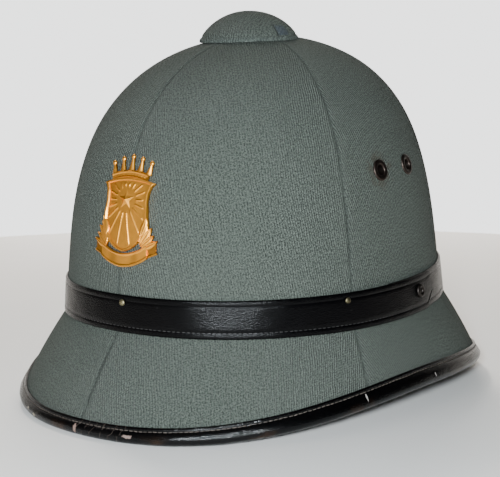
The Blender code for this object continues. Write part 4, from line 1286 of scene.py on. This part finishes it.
class HELMET_OT_band(bpy.types.Operator):
    """The leather strap round the crown's foot, its crease, its stitched line and lapped tip"""
    bl_idname = "helmet.band"
    bl_label = "Hat band"

    def execute(self, context):
        leather = context.scene.helmet_leather
        tip = np.linspace(FULL_TURN + TIP_LOWER, FULL_TURN + TIP_POINT, 14)
        turn = np.concatenate([np.linspace(BAND_START, FULL_TURN + TIP_LOWER, 420)[:-1], tip])
        low = np.interp(turn, [FULL_TURN + TIP_LOWER, FULL_TURN + TIP_POINT], [0.0, 0.44])
        high = np.interp(turn, [FULL_TURN + TIP_UPPER, FULL_TURN + TIP_POINT], [1.0, 0.52])
        rise, off = np.array(BAND_PROFILE).T
        rise, off = rise / rise[-1], off * BAND_LEATHER
        back = band_lift(turn)[:, None]
        place = (low[:, None] + rise[None, :] * (high - low)[:, None]) * BAND_HEIGHT
        sections = band_point(turn[:, None], place, back + off[None, :])
        uneven = 0.00006 * waves(sections, 0.012, 11) * (off[None, :] > 0.5 * BAND_LEATHER)
        sections = band_point(turn[:, None], place, back + off[None, :] + uneven)
        points, faces = tube(sections, loop=False)
        middle = band_point(turn, BAND_HEIGHT / 2 + 0 * turn, 0 * turn)
        run = np.append(0.0, np.cumsum(np.linalg.norm(np.diff(middle, axis=0), axis=1)))
        uv = np.stack([run[:, None] + 0 * place, place], -1).reshape(-1, 2)
        finish = leather_material("band_leather", (0.14, 1.0, 1.0), roughness=0.24, gloss=0.10)
        make_piece("leather_band", points, faces, finish, ["hat_band"], uv=uv,
                   sharp=70.0)
        seam = np.linspace(BAND_START + 0.1, FULL_TURN + TIP_LOWER - 0.02, 700)
        path = band_point(seam, BAND_STITCH_UP, band_lift(seam) + 0.92 * BAND_LEATHER)
        normal = outward(crown_surface, seam, BAND_STITCH_UP / CROWN_RISE)
        points, faces = stitches(path, normal, leather.stitch_pitch, BAND_STITCH, BAND_THREAD, 21)
        thread = thread_material("band_thread", (0.035, 0.033, 0.032), 0.5)
        make_piece("band_stitching", points, faces, thread)
        return {"FINISHED"}


class HELMET_OT_binding(bpy.types.Operator):
    """The leather binding folded over the rim: flanges, rolled bead and stitching"""
    bl_idname = "helmet.binding"
    bl_label = "Rim binding"

    def execute(self, context):
        leather = context.scene.helmet_leather
        angles = np.linspace(0.0, FULL_TURN, 721)[:-1]
        down, out = rim_axes(angles)
        line = bead_line(angles)
        around = np.linalg.norm(np.roll(line, -1, 0) - line, axis=1)
        run = np.append(0.0, np.cumsum(around))
        depth = BINDING_FRONT + (BINDING_SIDE - BINDING_FRONT) * np.sin(angles) ** 2
        top = (BEAD_RADIUS - depth)[:, None]
        inner = SHELL_WALL / 2 + FIT_GAP
        outer = inner + BINDING_LEATHER
        bead = np.radians(np.linspace(68, -68, 19))
        uneven = 1 + 0.018 * waves(line, 0.016, 31) + 0.010 * waves(line, 0.006, 32)
        zero = 0 * top
        flank = [(0.0, -0.0009), (0.0, -0.0003), (0.0002, 0.0), (0.0013, 0.0), (0.0017, -0.00035),
                 (0.0020, -0.00045), (0.0023, -0.00035), (0.0027, 0.0)]
        along = [top + step for step, _ in flank] + [0.5 * (top + 0.0027) + zero]
        off = [outer + sink + zero for _, sink in flank] + [outer + 0.00020 + zero]
        along += [BEAD_RADIUS * uneven[:, None] * math.cos(turn) for turn in bead]
        off += [BEAD_RADIUS * uneven[:, None] * math.sin(turn) for turn in bead]
        along += [0.5 * (top + 0.0027) + zero] + [top + step for step, _ in flank[::-1]]
        off += [-outer - 0.00020 + zero] + [-outer - sink + zero for _, sink in flank[::-1]]
        fold = EDGE_TUCK + FIT_GAP
        along += [top + zero, fold + zero, fold + zero, top + zero]
        off += [-inner + zero, -inner + zero, inner + zero, inner + zero]
        along, off = np.concatenate(along, 1), np.concatenate(off, 1)
        sections = line[:, None] + down[:, None] * along[..., None] + out[:, None] * off[..., None]
        sections[..., 2] = np.maximum(sections[..., 2], 0.00002)
        points, faces = tube(sections, loop=True)
        girth = np.cumsum(np.hypot(np.diff(along, axis=1, prepend=along[:, :1]),
                                   np.diff(off, axis=1, prepend=off[:, :1])), 1)
        uv = np.stack([run[:-1, None] + 0 * girth, girth], -1).reshape(-1, 2)
        # Mask for the painted brown sheen: the rolled bead, full at its edge
        crest = np.zeros(along.shape[1])
        crest[8:28] = np.clip(np.sin(np.linspace(0.0, math.pi, 20)) * 1.4, 0, 1)
        # Worn chips and the painted sheen spot, placed on the binding's length and girth
        spots = rim_spots(run, girth, angles, SPOT_TABLE)
        cracked = [spot[:2] for spot in rim_spots(run, girth, angles, CRACK_TABLE)]
        finish = leather_material("rim_leather", (1.0, 0.22, 1.0), spots=spots, cracked=cracked,
                                  brown=0.35, roughness=0.19, gloss=0.20)
        make_piece("leather_binding", points, faces, finish, ["rim_binding"],
                   uv=uv, period=run[-1], masks={"crest": np.tile(crest, len(angles))}, sharp=70.0)
        closed = np.append(np.arange(len(angles)), 0)
        wander = 0.00010 * waves(line, 0.012, 41)[:, None]
        parts = []
        for side, seed in ((1, 22), (-1, 23)):
            path = line + down * (top + 0.0020 + wander) + out * (side * (outer - 0.00028))
            shape = stitches(path[closed], side * out[closed], leather.stitch_pitch, RIM_STITCH,
                             RIM_THREAD, seed)
            parts.append((*shape, 0.0))
        points, faces, _ = gather(parts)
        thread = thread_material("rim_thread", leather.thread, 0.6)
        make_piece("rim_stitching", points, faces, thread)
        return {"FINISHED"}


class HELMET_OT_eyelets(bpy.types.Operator):
    """Four rolled metal eyelets through the side gores"""
    bl_idname = "helmet.eyelets"
    bl_label = "Vent eyelets"

    def execute(self, context):
        metal = context.scene.helmet_metal
        finish = metal_material("eyelet_metal", metal.dark, (0.030, 0.016, 0.010), 0.42)
        barrel = EYELET_BORE + EYELET_BARREL
        roll = np.linspace(math.pi, 0.0, 15)
        middle, reach = (EYELET_BORE + EYELET_RADIUS) / 2, (EYELET_RADIUS - EYELET_BORE) / 2
        face = [(middle + reach * math.cos(a), 0.0002 + EYELET_FLANGE * math.sin(a) ** 0.8)
                for a in roll]
        back = -SHELL_WALL - 0.0004
        rear = [(middle + reach * math.cos(a), back - 0.5 * EYELET_FLANGE * math.sin(a))
                for a in roll[::-1]]
        profile = [(EYELET_BORE, back)] + face + [(EYELET_RADIUS, 0.0001), (barrel, 0.0001),
                                                  (barrel, back)] + rear
        for side, sign in (("left", 1), ("right", -1)):
            for place, degrees in EYELET_ANGLES.items():
                turn = sign * math.radians(degrees)
                points, faces = turned(profile, crown_surface(turn, EYELET_LEVEL),
                                       outward(crown_surface, np.asarray(turn), EYELET_LEVEL), 56)
                node = f"eyelet_{side}_{place}"
                make_piece(f"metal_{node}", points, faces, finish, [node])
        return {"FINISHED"}


class HELMET_OT_fastenings(bpy.types.Operator):
    """The ring stud of the band's lapped end and the pins near its upper edge"""
    bl_idname = "helmet.fastenings"
    bl_label = "Band fastenings"

    def execute(self, context):
        metal = context.scene.helmet_metal
        seat, axis = band_seat(STUD_ANGLE + FULL_TURN, STUD_UP * BAND_HEIGHT)
        roll = np.linspace(0.0, math.pi, 13)
        profile = [(0, 0), (STUD_RADIUS, 0)]
        profile += [(0.72 * STUD_RADIUS + 0.28 * STUD_RADIUS * math.cos(a),
                     0.25 * STUD_RISE + 0.75 * STUD_RISE * math.sin(a)) for a in roll]
        profile += [(0.36 * STUD_RADIUS, 0.30 * STUD_RISE), (0.20 * STUD_RADIUS, 0.55 * STUD_RISE),
                    (0, 0.62 * STUD_RISE)]
        points, faces = turned(profile, seat, axis, 48)
        stud = metal_material("stud_metal", (0.035, 0.030, 0.027), (0.016, 0.013, 0.011), 0.45)
        make_piece("metal_band_stud", points, faces, stud, ["band_stud"])
        for place, degrees in PIN_ANGLES.items():
            turn = math.radians(degrees) % FULL_TURN
            if turn < BAND_START:
                turn += FULL_TURN
            seat, axis = band_seat(turn, BAND_HEIGHT - PIN_DROP)
            rise = np.linspace(0, math.pi / 2, 9)
            profile = [(0, 0)] + [(PIN_RADIUS * math.cos(a), PIN_RISE * math.sin(a)) for a in rise]
            colour = metal.brass if place == "front" else tuple(0.45 * v for v in metal.brass)
            name = "pin_metal_front" if place == "front" else "pin_metal_dull"
            finish = metal_material(name, colour, (0.09, 0.07, 0.05), 0.48)
            points, faces = turned(profile, seat, axis, 32)
            make_piece(f"metal_band_pin_{place}", points, faces, finish,
                       [f"band_pin_{place}"])
        return {"FINISHED"}


class HELMET_OT_badge(bpy.types.Operator):
    """The gilt badge: shield with a star and rays, coronet, leaves and a bare ribbon"""
    bl_idname = "helmet.badge"
    bl_label = "Badge"

    def execute(self, context):
        metal = context.scene.helmet_metal
        parts = [badge_shield(), badge_star()] + badge_coronet() + badge_leaves() + badge_ribbon()
        points, faces, relief = gather(parts)
        finish = metal_material("badge_gilt", metal.gilt, metal.tarnish, 0.42, relief=True)
        make_piece("gilt_badge", points, faces, finish, ["badge"],
                   masks={"relief": relief}, sharp=35.0)
        return {"FINISHED"}


class HELMET_OT_stage(bpy.types.Operator):
    """Pale floor, soft studio light and the camera"""
    bl_idname = "helmet.stage"
    bl_label = "Stage"

    def execute(self, context):
        stage = context.scene.helmet_stage
        scene = context.scene
        mesh = bpy.data.meshes.new("floor")
        ring = np.arange(FLOOR_SIDES) * (FULL_TURN / FLOOR_SIDES)
        rim = np.stack([np.cos(ring), np.sin(ring), 0 * ring], -1) * stage.floor_radius
        mesh.from_pydata(rim.tolist(), [], [list(range(FLOOR_SIDES))])
        floor = bpy.data.objects.new("floor", mesh)
        scene.collection.objects.link(floor)
        made, tree, shader = start_material("pale_floor")
        coords = add(tree, "ShaderNodeTexCoord").outputs
        cloudy = noise(tree, coords["Object"], scale=9.0, detail=4.0)
        cloudy = ramp(tree, cloudy, low=0.3, high=0.7)
        base = tint(tree, rgba(stage.floor), cloudy, 0.10, FLOOR_DULL)
        tree.links.new(base, shader.inputs["Base Color"])
        shader.inputs["Roughness"].default_value = 0.65
        mesh.materials.append(made)
        world = bpy.data.worlds.new("room")
        world.use_nodes = True
        sky = world.node_tree
        backdrop = sky.nodes["Background"]
        rays = add(sky, "ShaderNodeLightPath").outputs
        seen = rays["Is Camera Ray"]
        towards = add(sky, "ShaderNodeTexCoord").outputs["Generated"]
        facing = add(sky, "ShaderNodeVectorMath", {0: towards, 1: CAMERA_AHEAD},
                     operation="DOT_PRODUCT").outputs["Value"]
        behind = ramp(sky, facing, low=0.0, high=0.75)
        room = maths(sky, "MULTIPLY_ADD", behind, stage.wall - stage.sky, stage.sky)
        glare = ramp(sky, facing, low=0.50, high=0.92)
        mirrored = maths(sky, "MULTIPLY_ADD", glare, stage.glare - MIRRORED_DARK, MIRRORED_DARK)
        card = add(sky, "ShaderNodeVectorMath", {0: towards, 1: CARD_TOWARDS},
                   operation="DOT_PRODUCT").outputs["Value"]
        card = ramp(sky, card, low=0.60, high=0.98)
        mirrored = maths(sky, "MULTIPLY_ADD", card, stage.card, mirrored)
        room = maths(sky, "MULTIPLY_ADD", maths(sky, "SUBTRACT", mirrored, room),
                     rays["Is Glossy Ray"], room)
        added = maths(sky, "SUBTRACT", stage.backdrop, room)
        strength = maths(sky, "MULTIPLY_ADD", added, seen, room)
        sky.links.new(strength, backdrop.inputs["Strength"])
        sky.links.new(blend(sky, seen, (1.0, 0.95, 0.88, 1.0), (0.86, 0.87, 0.87, 1.0)),
                      backdrop.inputs["Color"])
        scene.world = world
        camera_data = bpy.data.cameras.new("camera")
        camera_data.lens = CAMERA_LENS
        camera_data.sensor_width = 36.0
        camera_data.clip_start = 0.01
        camera = bpy.data.objects.new("camera", camera_data)
        ahead = unit(np.array(CAMERA_AHEAD))
        up = unit(np.array(CAMERA_UP) - ahead * np.dot(CAMERA_UP, ahead))
        right = np.cross(ahead, up)
        turn = Matrix(np.stack([right, up, -ahead], 1).tolist())
        camera.matrix_world = Matrix.Translation(CAMERA_PLACE) @ turn.to_4x4()
        scene.collection.objects.link(camera)
        scene.camera = camera
        beside = np.array(CAMERA_PLACE) + up * 0.03 - right * 0.03
        lights = (
            ("flash", beside, (0, 0, 0.09), 0.06, stage.flash),
            ("overhead", (0.2, -0.7, 1.5), (0, 0, 0.1), 1.4, stage.fill),
            ("window", (-0.72, 0.40, 1.15), (0, 0, 0.05), 0.22, stage.window),
            ("behind", (-0.75, 0.93, 0.45), (0, 0, 0.1), 0.7, stage.back),
        )
        for name, place, aim, size, power in lights:
            lamp = bpy.data.lights.new(name, "AREA")
            lamp.color = (0.92, 1.0, 1.06) if name == "flash" else (1.0, 0.95, 0.89)
            lamp.size = size
            lamp.energy = power
            made = bpy.data.objects.new(name, lamp)
            towards = unit(np.array(aim, float) - np.array(place))
            helper = (0.0, 0.0, 1.0) if abs(towards[2]) < 0.95 else (0.0, 1.0, 0.0)
            side = unit(np.cross(towards, helper))
            facing = Matrix(np.stack([side, np.cross(side, towards), -towards], 1).tolist())
            made.matrix_world = Matrix.Translation(tuple(float(v) for v in place)) @ facing.to_4x4()
            made.visible_camera = False
            made.visible_glossy = name != "behind"
            scene.collection.objects.link(made)
        return {"FINISHED"}


class HELMET_PT_panel(bpy.types.Panel):
    """Lists the helmet's sizes, colours and pieces"""
    bl_label = "Police helmet"
    bl_idname = "HELMET_PT_panel"
    bl_space_type = "VIEW_3D"
    bl_region_type = "UI"
    bl_category = "Helmet"

    def draw(self, context):
        for group in GROUPS:
            box = self.layout.box()
            settings = getattr(context.scene, GROUPS[group])
            for name in group.__annotations__:
                box.prop(settings, name)
        for operator in OPERATORS:
            self.layout.operator(operator.bl_idname)


GROUPS = {
    HelmetCloth: "helmet_cloth",
    HelmetLeather: "helmet_leather",
    HelmetMetal: "helmet_metal",
    HelmetStage: "helmet_stage",
}
OPERATORS = (
    HELMET_OT_stage, HELMET_OT_crown, HELMET_OT_brim, HELMET_OT_button, HELMET_OT_band,
    HELMET_OT_binding, HELMET_OT_eyelets, HELMET_OT_fastenings, HELMET_OT_badge,
)


def register():
    """Registers the classes and puts the settings on the scene."""
    for group, name in GROUPS.items():
        bpy.utils.register_class(group)
        setattr(bpy.types.Scene, name, PointerProperty(type=group))
    for operator in OPERATORS:
        bpy.utils.register_class(operator)
    bpy.utils.register_class(HELMET_PT_panel)


def unregister():
    """Takes the settings and classes away again."""
    bpy.utils.unregister_class(HELMET_PT_panel)
    for operator in reversed(OPERATORS):
        bpy.utils.unregister_class(operator)
    for group, name in reversed(list(GROUPS.items())):
        delattr(bpy.types.Scene, name)
        bpy.utils.unregister_class(group)


def main():
    """Builds every piece in order."""
    register()
    for operator in OPERATORS:
        family, name = operator.bl_idname.split(".")
        getattr(getattr(bpy.ops, family), name)()


if __name__ == "__main__":
    main()
